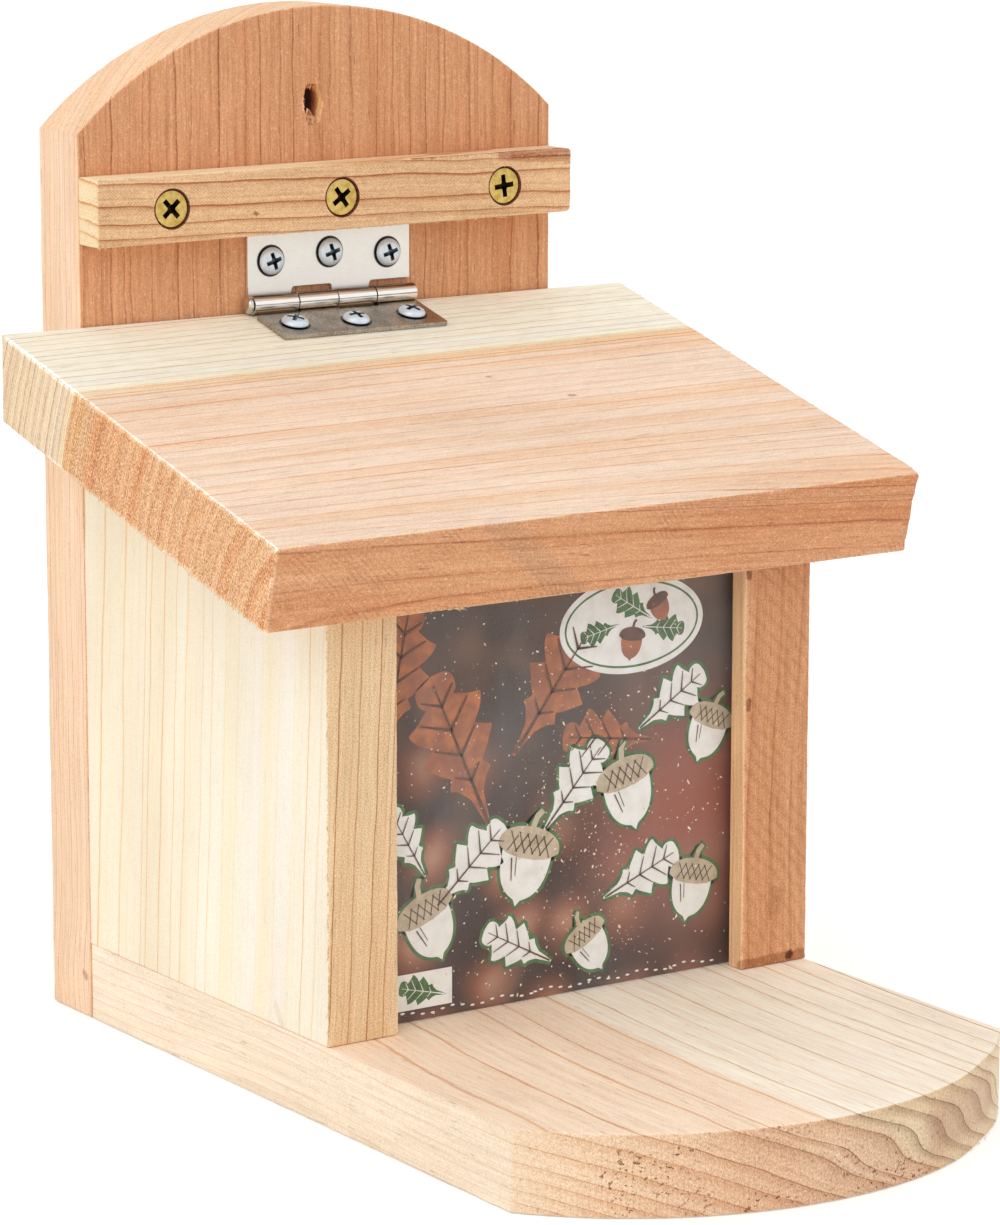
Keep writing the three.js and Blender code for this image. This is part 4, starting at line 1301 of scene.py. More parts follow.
KNUCKLE_EDGES = (-25, -11.5, 0.5, 12.5, 25)
HINGE = dict(length=50, reach=18, strip=1.1, barrel=2.5, gap=0.3, notch=1.3, corner=1.0)


def knuckle_spans():
    """Where each knuckle starts and ends along the pin, less its share of the running gaps."""
    last = len(KNUCKLE_EDGES) - 2
    half_gap = HINGE["gap"] / 2
    return [
        (low + (half_gap if index else 0), high - (half_gap if index < last else 0))
        for index, (low, high) in enumerate(zip(KNUCKLE_EDGES, KNUCKLE_EDGES[1:]))
    ]


def roll_section():
    """The section of a knuckle in (y, z): the strip rolled nearly full circle, down to the leaf."""
    outer, inner = HINGE["barrel"], HINGE["barrel"] - HINGE["strip"]
    start = -math.pi / 2
    end = -math.asin((inner - 0.3) / outer)
    sweep = 2 * math.pi - (end - start)
    steps = 44
    ring = [start - sweep * index / steps for index in range(steps + 1)]
    section = [(outer, -outer)]
    section += [(math.cos(a) * outer, math.sin(a) * outer) for a in ring]
    section += [(math.cos(a) * inner, math.sin(a) * inner) for a in reversed(ring)]
    section += [(outer, -inner)]
    return section


def hinge_leaf(name, spans, own, matrix):
    """A leaf with its rolled knuckles. Its frame has the pin along X, the leaf going up Y, and its face towards Z."""
    half, reach, strip, barrel = HINGE["length"] / 2, HINGE["reach"], HINGE["strip"], HINGE["barrel"]
    corners = [(-half, 0, 0), (half, 0, 0), (half, reach, 0.5), (-half, reach, 0.5)]
    plate = slab(name, soft_outline(corners, 4.0), -barrel, strip - barrel, matrix)
    cutters = []
    for index, (low, high) in enumerate(spans):
        if index in own:
            continue
        left = low - (HINGE["gap"] if low > -half else 2)
        right = high + (HINGE["gap"] if high < half else 2)
        deep, corner = barrel + HINGE["notch"], HINGE["corner"]
        notch = soft_outline([(left, -2, 0), (right, -2, 0), (right, deep, corner), (left, deep, corner)], 3.0)
        cutters.append(slab("notch", notch, -2 * barrel, 0, matrix))
    for across, up in HINGE_SCREW_SPOTS:
        hole = matrix @ Matrix.Translation(Vector((across, up, -barrel)) * MM)
        cutters.append(turned("hole", [(0, -1), (2.1, -1), (2.1, 2), (0, 2)], hole, sides=32))
    cut(plate, cutters)
    rolls = [prism("roll", [[(x, y, z) for y, z in roll_section()] for x in spans[index]], matrix) for index in own]
    cut(plate, rolls, operation="UNION")
    edge = plate.modifiers.new("edge", "BEVEL")
    edge.width, edge.segments, edge.limit_method, edge.angle_limit = 0.16 * MM, 2, "ANGLE", math.radians(50)
    bpy.context.view_layer.update()
    settle(plate)
    back = matrix.inverted()
    for face in plate.data.polygons:
        spot, facing = back @ face.center / MM, back.to_3x3() @ face.normal
        rolled = math.hypot(spot.y, spot.z) < barrel + 0.3 and abs(facing.z) < 0.9995
        face.material_index = 1 if rolled else 0
        face.use_smooth = rolled
    return plate


def knuckle_steel():
    """Nickel whose colour is banded by which way each face turns, as painted reflections: bright on the turn of the
    knuckles, darker bands above and bronze-brown bands below.
    """
    r = Recipe("hinge_knuckle_steel")
    lengthwise = r.noise(r.vector("MULTIPLY", r.spot, (0.3, 3.0, 3.0)), 2.0)
    upright = r.total(r.parts(r.facing)[2], r.times(r.minus(lengthwise, 0.5), 0.05))
    body = tint(248, 244, 238)
    # painted reflections: bands of colour set by how far each face turns up or down
    for start, full, shade in (
        (0.42, 0.52, (206, 186, 172)), (0.76, 0.88, (96, 68, 52)), (-0.34, -0.46, (222, 196, 170)),
        (-0.58, -0.72, (132, 94, 64)),
    ):
        body = r.mix(r.spread(upright, start, full), body, tint(*shade))
    line = r.times(r.spread(upright, 0.15, 0.09), r.spread(upright, -0.04, 0.02))
    body = r.mix(line, body, tint(150, 136, 126))
    return r.finished(body, r.level(lengthwise, 0.16, 0.24), r.times(lengthwise, 0.004), Metallic=1.0)


def hinge_steel(name, base, roughness, dull, heads=()):
    """Rolled steel: brushed along the strip; clouded, pitted and dotted with painted glints where it is dull; with a
    painted shadow ring round each screw's head.
    """
    r = Recipe(name)
    brushed = r.noise(r.vector("MULTIPLY", r.spot, (0.35, 4.5, 4.5)), 3.0, roughness=0.6)
    cloud = r.noise(r.spot, 3.0, scale=0.22)
    specks = r.spread(r.noise(r.spot, 2.0, scale=2.1, roughness=0.7), 0.58, 0.7)
    body = r.mix(r.times(r.spread(cloud, 0.3, 0.7), dull), base, tint(140, 128, 114))
    body = r.mix(r.times(specks, min(1.0, 1.6 * dull)), body, tint(66, 56, 48))
    # painted glints: bright specks painted into the colour where the steel is dull
    glints = r.spread(r.noise(r.spot, 1.0, scale=2.7), 0.62, 0.7)
    body = r.mix(r.times(glints, dull), body, tint(250, 248, 244))
    body = r.vector("SCALE", body, scale=r.level(brushed, 0.94, 1.05))
    # painted shadow: a dark ring on the leaf round each screw's head
    shadow_ring_edge, shadow_ring_full = 4.35, 4.05
    for head in heads:
        away = r.vector("DISTANCE", r.spot, head)
        body = r.mix(r.spread(away, shadow_ring_edge, shadow_ring_full), body, tint(58, 54, 50))
    rough = r.total(r.level(brushed, roughness - 0.05, roughness + 0.08), r.times(specks, 0.2 * dull))
    height = r.total(r.times(brushed, 0.006), r.times(specks, -0.02 * dull))
    return r.finished(body, rough, height, Metallic=1.0)


class FEEDER_OT_hinge(bpy.types.Operator):
    """Make the butt hinge: two rolled leaves and the pin"""

    bl_idname = "feeder.hinge"
    bl_label = "Hinge"

    def execute(self, context):
        spans = knuckle_spans()
        at_pin = Matrix.Translation(PIN_AXIS * MM)
        upright = at_pin @ Matrix((X, Z, -Y)).transposed().to_4x4()
        upper = hinge_leaf("hinge_leaf_upper_rolled", spans, (0, 2), upright)
        rolled = knuckle_steel()
        heads = {side: [place for name, _, place, _, _ in screws() if side in name] for side in ("upper", "lower")}
        satin = hinge_steel("hinge_steel_satin", tint(238, 236, 230), 0.46, 0.04, heads["upper"])
        dress(upper, (satin, rolled), "box", "hinge_steel", "hinge_leaf_upper")
        tilt = Matrix.Rotation(LID_SLOPE, 3, "X")
        flat = at_pin @ (tilt @ Matrix((-X, -Y, Z)).transposed()).to_4x4()
        lower = hinge_leaf("hinge_leaf_lower_rolled", [(-b, -a) for a, b in spans], (1, 3), flat)
        mottled = hinge_steel("hinge_steel_mottled", tint(186, 178, 168), 0.3, 0.7, heads["lower"])
        dress(lower, (mottled, rolled), "lid", "hinge_steel", "hinge_leaf_lower")
        along = at_pin @ Matrix.Rotation(-math.pi / 2, 4, "Y")
        profile = [
            (0, -25.7), (0.77, -25.7), (1.1, -25.0), (1.1, 25.3), (2.1, 25.3), (2.3, 25.42), (2.3, 25.8), (2.2, 26.15),
            (1.95, 26.45), (1.5, 26.68), (0.9, 26.78), (0, 26.8),
        ]
        pin = turned("hinge_pin_domed", profile, along, sides=40)
        # the shaft, seen only in the gaps between the knuckles, takes the dark finish: painted shade in those gaps; the
        # domed head stays bare
        for face in pin.data.polygons:
            face.material_index = 1 if face.center.x / MM > PIN_AXIS.x - 25 else 0
        gap_shade = plated("hinge_pin_gap_painted_shade", tint(58, 48, 42), 0.5, tint(30, 24, 20), 0.6)
        bare = hinge_steel("hinge_pin_steel", context.scene.feeder_colours.steel, 0.22, 0.25)
        dress(pin, (bare, gap_shade), "box", "hinge_steel", "hinge_pin")
        return {"FINISHED"}


# Front sheets


class FEEDER_OT_window(bpy.types.Operator):
    """Dress the clear sheet and the printed card behind it"""

    bl_idname = "feeder.window"
    bl_label = "Window and card"

    def execute(self, context):
        colours = context.scene.feeder_colours
        finish_node("window_sheet", clear_sheet_material())
        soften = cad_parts["window_sheet"].modifiers.new("edge", "BEVEL")
        soften.width, soften.segments = context.scene.feeder_sizes.sheet_edge, 2
        finish_node("label_card", card_material(colours))
        inks = {
            "green": print_ink("printed_leaf_green", colours.card_green, tint(48, 84, 44)),
            "white": print_ink("printed_white", colours.card_white, tint(232, 229, 222)),
            "cream": print_ink("printed_cap_cream", tint(206, 190, 164), tint(176, 156, 126)),
            "russet": print_ink("printed_leaf_russet", colours.card_russet, tint(196, 120, 70)),
            "brown": print_ink("printed_cap_brown", tint(112, 74, 50), tint(70, 46, 34)),
        }
        for level, (name, ink, shapes) in enumerate(card_layers(), 1):
            printed = printed_layer(f"card_print_{name}", shapes, CARD_FRONT - INK_STEP * level)
            dress(printed, [inks[ink]], "box", "printed_card")
        dust = dust_specks(context.scene.feeder_sizes.dust_count)
        sawdust = print_ink("sawdust", tint(242, 236, 226), tint(220, 190, 140))
        dress(dust, [sawdust], "box", "clear_sheet")
        return {"FINISHED"}


def finish_node(name, material):
    """Gives a carried-over solid its material, its mesh untouched."""
    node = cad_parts[name]
    if not node.material_slots:
        node.data.materials.append(material)
    for slot in node.material_slots:
        slot.material = material


def moved(outline, x, z, turn, scale):
    """A flat outline turned, scaled and set down at a place on the card."""
    c, s = math.cos(math.radians(turn)), math.sin(math.radians(turn))
    return [(x + scale * (u * c - v * s), z + scale * (u * s + v * c)) for u, v in outline]


def grown(outline, margin):
    """An outline made larger all round by a margin."""
    count = len(outline)
    result = []
    for index in range(count):
        before, after = Vector(outline[index - 1]), Vector(outline[(index + 1) % count])
        along = (after - before).normalized()
        result.append((outline[index][0] + along.y * margin, outline[index][1] - along.x * margin))
    return result


def acorn_nut():
    """The nut of an acorn, point down, about one unit long with its cap."""
    left = [(-0.36 * math.sqrt(1 - v**2.6), 0.02 - 0.6 * v) for v in (i / 18 for i in range(18))]
    tip = [(-0.05, -0.585), (0, -0.66), (0.05, -0.585)]
    return [*left, *tip, *[(-x, y) for x, y in reversed(left)]]


def acorn_cap():
    """The cap of an acorn, its rim bowed, with a short bent stalk."""
    dome = []
    for index in range(25):
        angle = math.pi * index / 24
        dome.append((0.45 * math.cos(angle), 0.04 + 0.27 * math.sin(angle) ** 0.75))
    stalk = [(0.04, 0.31), (0.06, 0.42), (0.12, 0.5), (0.06, 0.54), (-0.01, 0.46), (-0.04, 0.31)]
    rim = [(-0.3, -0.05), (-0.1, -0.08), (0.1, -0.08), (0.3, -0.05)]
    return [*dome[:12], *stalk, *dome[13:], *rim]


def oak_leaf():
    """A lobed leaf, one unit long, its stalk at the bottom."""
    right = []
    for index in range(61):
        t = index / 60
        envelope = 0.3 * math.sin(math.pi * (0.08 + 0.92 * t) ** 1.25) ** 0.75 if t < 1 else 0.0
        lobes = 0.5 + 0.5 * abs(math.sin(math.pi * (3.6 * t + 0.12))) ** 0.7
        right.append((max(0.012, envelope * lobes), -0.38 + 0.88 * t + 0.03 * math.sin(math.pi * 7.2 * t)))
    return [(0.012, -0.6), *right, *[(-x, y) for x, y in reversed(right)], (-0.012, -0.6)]


def leaf_veins():
    """The midrib and side veins of a leaf, as thin tapered strips."""
    veins = [[(-0.012, -0.58), (0.012, -0.58), (0.004, 0.42), (-0.004, 0.42)]]
    for level, reach in ((-0.26, 0.1), (-0.08, 0.17), (0.1, 0.19), (0.27, 0.13)):
        tip = level + reach * 0.72
        right = [(0.0, level - 0.012), (reach, tip), (reach - 0.004, tip + 0.008), (0.0, level + 0.014)]
        veins += [right, [(-x, y) for x, y in reversed(right)]]
    return veins


def oval(x, z, width, height, steps=64):
    angles = [2 * math.pi * step / steps for step in range(steps)]
    return [(x + width / 2 * math.cos(a), z + height / 2 * math.sin(a)) for a in angles]


def oval_ring(x, z, width, height, thickness, steps=64):
    """A ring drawn as short strips end to end, so that each is a plain outline."""
    outer, inner = oval(x, z, width, height, steps), oval(x, z, width - 2 * thickness, height - 2 * thickness, steps)
    return [[outer[i], outer[(i + 1) % steps], inner[(i + 1) % steps], inner[i]] for i in range(steps)]


def card_layers():
    """A garland of pale acorns and leaves, and two pale tiles, over the card, from the lowest ink up."""
    garland_nuts = [
        (-39, 46, 22, 19), (-9, 58, -16, 21), (21, 72, 14, 20), (47, 84, -22, 16), (9, 33, 30, 15), (42, 44, -12, 17)
    ]
    garland_leaves = [
        (-25, 58, -48, 25), (6, 74, -42, 25), (36, 92, -58, 22), (-13, 35, 62, 21), (27, 48, -68, 23), (-45, 66, 30, 19)
    ]
    fallen = [(-30, 88, 24, 40), (0, 100, -38, 36), (-47, 108, -12, 34), (14, 84, 82, 26)]
    sprig = [(22, 117, 58, 13), (33, 110, -98, 12), (12, 111, 102, 11)]
    tile_nuts = [(22.5, 108.5, -8, 9), (30.5, 116.5, 26, 8)]
    stamp_leaf = [(-41, 27.5, 76, 13)]

    def shapes(outline, places, margin=0.0):
        placed = [moved(outline, *place) for place in places]
        return [grown(each, margin) for each in placed] if margin else placed

    green = shapes(oak_leaf(), garland_leaves, 0.9) + shapes(acorn_nut(), garland_nuts, 0.9)
    green += shapes(acorn_cap(), garland_nuts, 0.9)
    tiles = [oval(22.5, 112, 44, 25), moved([(-9.5, -4.6), (9.5, -4.6), (9.5, 4.6), (-9.5, 4.6)], -41, 27.6, 0, 1)]
    white = shapes(oak_leaf(), garland_leaves) + shapes(acorn_nut(), garland_nuts) + tiles
    ring = oval_ring(22.5, 112, 41, 22, 0.55)
    leafy = shapes(oak_leaf(), sprig) + shapes(oak_leaf(), stamp_leaf) + ring
    pale_veins = [moved(vein, *place) for place in sprig + stamp_leaf for vein in leaf_veins()]
    soft_veins = [moved(vein, *place) for place in garland_leaves + fallen for vein in leaf_veins()]
    nut_glints = (
        [(-0.22, -0.1), (-0.2, -0.1), (-0.14, -0.36), (-0.15, -0.37)],
        [(-0.15, -0.08), (-0.14, -0.08), (-0.1, -0.3), (-0.11, -0.3)],
    )
    hatch = []
    for place in garland_nuts:
        for slant in (-1, 1):
            for step in (-0.24, -0.12, 0.0, 0.12, 0.24):
                low, high = (step - 0.07 * slant, -0.02), (step + 0.07 * slant, 0.22)
                hatch.append(moved([low, (low[0] + 0.016, low[1]), (high[0] + 0.016, high[1]), high], *place))
        hatch += [moved(glint, *place) for glint in nut_glints]
    trail = []
    for step in range(34):
        x, z = -49 + 2.95 * step, 21.9 + 0.5 * math.sin(step * 1.3)
        trail.append(oval(x, z, 1.3, 0.55, 10))
    return [
        ("fallen_leaves", "russet", shapes(oak_leaf(), fallen)),
        ("outlines", "green", green),
        ("pale_shapes", "white", white + trail),
        ("sprig", "green", leafy),
        ("caps", "cream", shapes(acorn_cap(), garland_nuts)),
        ("tile_nuts", "russet", shapes(acorn_nut(), tile_nuts)),
        ("tile_caps", "brown", shapes(acorn_cap(), tile_nuts)),
        ("pale_veins", "white", pale_veins),
        ("line_work", "brown", soft_veins + hatch),
    ]


def printed_layer(name, shapes, front):
    """Flat shapes of one ink, each a thin closed slab on the card's face."""
    mesh = bmesh.new()
    lowest, highest, widest = PANEL_FOOT + 1, WINDOW_TOP, BOARD_WIDTH / 2 - PANEL_THICKNESS + 3
    for outline in shapes:
        bounded = [(min(max(x, -widest), widest), min(max(z, lowest), highest)) for x, z in outline]
        depths = (front, front + INK_THICKNESS)
        capped_wall(mesh, [[mesh.verts.new(Vector((x, y, z)) * MM) for x, z in bounded] for y in depths])
    bmesh.ops.recalc_face_normals(mesh, faces=mesh.faces)
    bmesh.ops.triangulate(mesh, faces=[face for face in mesh.faces if len(face.verts) > 4])
    return to_object(mesh, name)


def dust_specks(count):
    """Sawdust caught on the clear sheet: small flakes, thickest towards the middle and the foot."""
    chance = random.Random(12)
    mesh = bmesh.new()
    for _ in range(count):
        if chance.random() < 0.6:
            x, z = chance.gauss(4, 22), chance.gauss(62, 26)
        else:
            x, z = chance.uniform(-DUST_REACH, DUST_REACH), chance.uniform(DUST_FOOT, WINDOW_TOP)
        if not (-DUST_REACH < x < DUST_REACH and DUST_FOOT < z < WINDOW_TOP):
            continue
        size = 0.09 + 0.26 * chance.random() ** 3
        stretch = 1 + 2.2 * chance.random() ** 4
        spin = chance.uniform(0, math.pi)
        points = []
        for corner in range(5):
            angle = 2 * math.pi * corner / 5
            radius = size * chance.uniform(0.6, 1.1)
            u, v = math.cos(angle) * radius * stretch, math.sin(angle) * radius
            right, up = u * math.cos(spin) - v * math.sin(spin), u * math.sin(spin) + v * math.cos(spin)
            points.append(mesh.verts.new(Vector((x + right, SHEET_FRONT - 0.01, z + up)) * MM))
        peak = mesh.verts.new(Vector((x, SHEET_FRONT - 0.01 - size * 0.7, z)) * MM)
        for corner in range(5):
            mesh.faces.new((points[corner], points[(corner + 1) % 5], peak))
        mesh.faces.new(points[::-1])
    return closed(mesh, "window_dust")


def print_ink(name, base, shade):
    """Matt ink or dust with a faint mottle."""
    r = Recipe(name)
    mottle = r.noise(r.spot, 4.0, scale=0.22, roughness=0.6)
    return r.finished(r.mix(r.spread(mottle, 0.35, 0.75), base, shade), r.level(mottle, 0.5, 0.62))


def clear_sheet_material():
    """Clear acrylic with a thin cloudy veil."""
    r = Recipe("clear_acrylic")
    haze = r.noise(r.spot, 2.0, scale=0.025)
    wipe = r.noise(r.vector("MULTIPLY", r.spot, (0.12, 0.12, 0.03)), 2.0)
    veil = r.total(r.spread(haze, 0.35, 0.7, 0.016, 0.05), r.spread(wipe, 0.5, 0.75, 0.0, 0.02))
    body = r.mix(haze, tint(214, 220, 230), tint(228, 228, 226))
    return r.finished(body, r.spread(wipe, 0.3, 0.7, 0.08, 0.16, smooth=False), Alpha=veil, IOR=1.49)


def card_material(colours):
    """Soft printed ground, out of focus: charcoal above, a heap of nuts below, a russet mass to the right."""
    r = Recipe("printed_card_ground")
    across, _, up = r.parts(r.spot)
    cloud = r.noise(r.spot, 2.0, scale=0.03)
    body = r.mix(r.spread(cloud, 0.35, 0.7), colours.card_dark, tint(92, 68, 54))
    bend = r.combine(cloud, 0.0, r.noise(r.spot, 1.0, scale=0.04))
    bent = r.parts(r.vector("ADD", r.spot, r.vector("SCALE", bend, scale=10.0)))
    cells = r.node("ShaderNodeTexVoronoi", voronoi_dimensions="2D", feature="SMOOTH_F1")
    r.feed(cells.inputs["Vector"], r.combine(bent[0], bent[2], 0.0))
    cells.inputs["Scale"].default_value = 1 / 19
    cells.inputs["Smoothness"].default_value = 0.25
    cells.inputs["Randomness"].default_value = 0.75
    roundness = r.spread(cells.outputs["Distance"], 0.62, 0.12)
    shine = r.spread(cells.outputs["Distance"], 0.32, 0.0)
    nut = r.mix(roundness, tint(62, 42, 36), colours.card_russet)
    nut = r.mix(r.times(shine, 0.5), nut, tint(206, 160, 134))
    slope = r.total(up, r.times(across, 0.7))
    heap = r.times(r.spread(slope, 86, 40), r.spread(cloud, 0.2, 0.45, 0.6, 1.0))
    body = r.mix(heap, body, nut)
    mass = r.vector("DISTANCE", r.combine(r.times(across, 1.25), 0.0, up), (46, 0, 62))
    mass = r.spread(r.total(mass, r.times(cloud, 34.0)), 66, 22)
    body = r.mix(r.times(mass, 0.8), body, tint(168, 96, 76))
    glow = r.spread(r.noise(r.spot, 1.0, scale=0.055), 0.52, 0.8)
    body = r.mix(r.times(glow, 0.4), body, tint(150, 116, 92))
    return r.finished(body, r.level(r.noise(r.spot, 2.0, scale=3.0), 0.5, 0.6))


# Torn fibres


def sliver(mesh, root, direction, lift, size, width, curl):
    """A torn fibre: a thin three-sided strip that tapers to a point and curls away."""
    direction, lift = Vector(direction).normalized(), Vector(lift).normalized()
    across = direction.cross(lift).normalized()
    steps = 5
    rings = []
    for step in range(steps):
        t = step / steps
        spine = Vector(root) + direction * size * t + lift * curl * size * t * t
        half = 0.5 * width * (1 - t) ** 0.7
        corners = (across * half, -across * half, lift * half * 0.9)
        rings.append([mesh.verts.new((spine + corner) * MM) for corner in corners])
    tip = mesh.verts.new((Vector(root) + direction * size + lift * curl * size) * MM)
    wall(mesh, rings)
    for index in range(3):
        mesh.faces.new((rings[-1][index], rings[-1][(index + 1) % 3], tip))
    mesh.faces.new(rings[0][::-1])


# A stretch of arris with torn fibres: its ends, the way out of the timber, the way they lie, how many, and their sizes
Tear = namedtuple("Tear", "start end outward lie count shortest longest width spray", defaults=[0.22, 0.35])


def torn_fibres(name, tears, seed):
    """Fibres strewn along each tear."""
    chance = random.Random(seed)
    mesh = bmesh.new()
    for tear in tears:
        for _ in range(tear.count):
            spot = Vector(tear.start).lerp(Vector(tear.end), chance.random())
            outward = tear.outward.normalized()
            spray = Vector([chance.uniform(-1, 1) for _ in range(3)]) * tear.spray
            direction = tear.lie.normalized() + spray + outward * chance.uniform(0.0, 0.25)
            size = tear.shortest + (tear.longest - tear.shortest) * chance.random() ** 2.5
            root = spot - outward * chance.uniform(0.12, 0.4) - direction.normalized() * size * 0.2
            width = tear.width * chance.uniform(0.6, 1.3)
            sliver(mesh, root, direction, outward + spray * 0.5, size, width, chance.uniform(-0.05, 0.35))
    return closed(mesh, name)


def fibre_material(name, base):
    r = Recipe(name)
    streak = r.noise(r.spot, 2.0, scale=1.3)
    body = r.mix(r.spread(streak, 0.3, 0.7), base, tint(214, 160, 112))
    return r.finished(body, r.level(streak, 0.7, 0.9))


def lid_spot(across, depth, down):
    """A place on the lid, in millimetres from the middle of its rear top edge."""
    return LID_REAR_EDGE + X * across + LID_FORWARD * depth - LID_UPWARD * down


class FEEDER_OT_fibres(bpy.types.Operator):
    """Make the fibres that the saw tore loose along the edges"""

    bl_idname = "feeder.fibres"
    bl_label = "Torn fibres"

    def execute(self, context):
        pale = fibre_material("torn_fibre", context.scene.feeder_colours.fibre)
        half = BOARD_WIDTH / 2
        forward, upward = LID_FORWARD, LID_UPWARD
        left, right, end, foot = -LID_WIDTH / 2, LID_WIDTH / 2, LID_LENGTH, LID_THICKNESS
        corner, under = -X + upward, forward - upward

        def on_lid(start, finish, *rest):
            return Tear(lid_spot(*start), lid_spot(*finish), *rest)

        def make(name, tears, seed, slot, material=pale):
            dress(torn_fibres(name, tears, seed), [material], "lid" if slot == "lid_timber" else "box", slot)

        lid = [
            on_lid((left, 20, 0), (left, 134, 0), corner, forward, 200, 0.3, 2.0),
            on_lid((left, 40, foot), (left, 134, foot), -X - upward, -upward, 380, 0.25, 1.2, 0.28),
            on_lid((left, end, 1), (left, end, 20), forward - X, X, 130, 0.3, 1.4, 0.26),
            on_lid((left + 48, end, foot), (left + 56, end, foot), under, X, 10, 0.8, 3.4, 0.4),
            on_lid((left + 20, end, foot), (right, end, foot), under, X, 40, 0.4, 1.6),
            on_lid((right, 4, 0), (right, 134, 0), X + upward, forward, 50, 0.3, 1.4),
        ]
        make("lid_fibres", lid, 21, "lid_timber")
        panel_top = PANEL_REAR_TOP - (BASE_REAR - PANEL_FRONT) * math.tan(LID_SLOPE)
        inner = half - PANEL_THICKNESS
        sides = [
            Tear((-half, PANEL_FRONT, 22), (-half, PANEL_FRONT, 78), -X - Y, -Z, 70, 0.5, 3.6, 0.3),
            Tear((-half, PANEL_FRONT, 22), (-half, PANEL_FRONT, panel_top), -X - Y, -Z, 90, 0.3, 1.6),
            Tear((-inner, PANEL_FRONT, 22), (-inner, PANEL_FRONT, panel_top), X - Y, Z, 90, 0.3, 1.3, 0.16),
            Tear((inner, PANEL_FRONT, 22), (inner, PANEL_FRONT, panel_top), -X - Y, Z, 60, 0.3, 1.5, 0.18),
            Tear((half, PANEL_FRONT, 22), (half, PANEL_FRONT, panel_top), X - Y, Z, 30, 0.3, 1.2, 0.18),
            Tear((inner, PANEL_FRONT, 20.6), (half, PANEL_FRONT, 20.6), -Y - Z, -Y, 40, 0.3, 1.2, 0.26),
        ]
        make("side_panel_fibres", sides, 22, "pale_timber")
        front = BASE_REAR - BATTEN_DEPTH
        low, high = BATTEN_FOOT, BATTEN_FOOT + BATTEN_HEIGHT
        strip = [
            Tear((-half, front, low), (-half, front, high), -X - Y, -X, 40, 0.3, 1.4),
            Tear((-half, front, low), (half, front, low), -Y - Z, X, 90, 0.4, 2.2),
            Tear((-half, front, low), (-half + 3, front, low), -Z, -Z + X * 0.3, 8, 1.2, 2.8, 0.4, 0.2),
            Tear((-half, front, high), (half, front, high), -Y + Z, X, 40, 0.4, 1.6),
            Tear((-45.6, front, 213), (-45.4, front, 213.6), -Y, X + Z * 0.2, 3, 1.0, 1.8, 0.5, 0.25),
            Tear((-24, front, 208.5), (-23, front, 208.6), -Y, Z, 2, 0.8, 1.2, 0.3, 0.3),
        ]
        make("batten_fibres", strip, 23, "batten_timber")
        arch = bow(BOARD_WIDTH, BACK_HEIGHT, BACK_ARCH_RISE, 3.0)
        edge = []
        for (x0, z0), (x1, z1) in zip(arch, arch[1:]):
            weight = 7 if x1 < 5 else 2
            lie = Vector((x1 - x0, 0, z1 - z0))
            edge.append(Tear((x0, BACK_FRONT, z0), (x1, BACK_FRONT, z1), Z - Y, lie, weight, 0.3, 1.5))
        edge += [
            Tear((-half, 104, 4), (-half, 104, 150), -X - Y, -Z, 50, 0.3, 1.4),
            Tear((-5.1, 104.3, 233), (-5.2, 104.3, 236), -X, Z, 5, 0.5, 1.1, 0.2, 0.2),
            Tear((0.4, 103.9, 241.5), (0.8, 103.9, 241.8), -Y, X - Z * 0.3, 2, 1.2, 2.0, 0.16, 0.1),
            Tear((0.1, 104.7, 237.2), (0.3, 104.9, 238.4), X, -X - Z * 0.6, 4, 0.6, 1.3, 0.5, 0.3),
        ]
        make("back_board_fibres", edge, 24, "back_timber")
        salmon = fibre_material("torn_heartwood", tint(240, 168, 108))
        deep = fibre_material("torn_heartwood_deep", tint(150, 84, 54))
        flake = (
            (-1.6, -6.0), (0.3, -6.0), (0.9, -4.8), (1.0, -4.0), (0.75, -3.4), (0.5, -2.9), (0.3, -3.5), (0.05, -2.7),
            (-0.25, -2.0), (-0.75, -1.2), (-1.05, -1.8), (-1.35, -2.6), (-1.6, -3.4), (-1.7, -4.6),
        )
        for name, material, depth, aside in (("front", deep, 0.75, 0.0), ("rear", pale, 1.1, 0.3)):
            at = Matrix.Translation(Vector((HOLE_PLACE[0] - aside, BACK_FRONT + depth, HOLE_PLACE[1] + aside)) * MM)
            at = at @ Matrix((X, Z, -Y)).transposed().to_4x4() @ Matrix.Rotation(-0.1, 4, "X")
            dress(slab(f"hanging_hole_flake_{name}", flake, -0.3, 0.05, at), [material], "box", "back_timber")
        torn = [
            Tear((-4.2, 104.8, 239.6), (-1.2, 104.8, 239.6), Z, -Z + Y * 0.2, 12, 0.9, 1.8, 0.5, 0.25),
            Tear((-4.6, 106, 239.2), (-1.0, 106, 239.2), Z, -Z + Y * 0.3, 9, 1.2, 2.4, 0.6, 0.3),
        ]
        make("hanging_hole_splinters", torn, 26, "back_timber", salmon)
        ledge = bow(BOARD_WIDTH, -BASE_FRONT, BASE_BOW_RISE, 4.0, down=True)
        rim = []
        for (x0, y0), (x1, y1) in zip(ledge, ledge[1:]):
            outward = Vector(((x0 + x1) / 2, (y0 + y1) / 2 + 30, 0)).normalized()
            lie = Vector((x1 - x0, y1 - y0, 0))
            rim.append(Tear((x0, y0, 0.2), (x1, y1, 0.2), outward - Z, lie, 3, 0.3, 1.2, 0.2))
            rim.append(Tear((x0, y0, BASE_THICKNESS), (x1, y1, BASE_THICKNESS), outward + Z, lie, 2, 0.25, 0.8, 0.16))
        rim.append(Tear((-half, -88, 0.2), (-half, 100, 0.2), -X, Y, 36, 0.3, 1.4))
        make("base_board_fibres", rim, 25, "base_timber")
        return {"FINISHED"}


# Stage


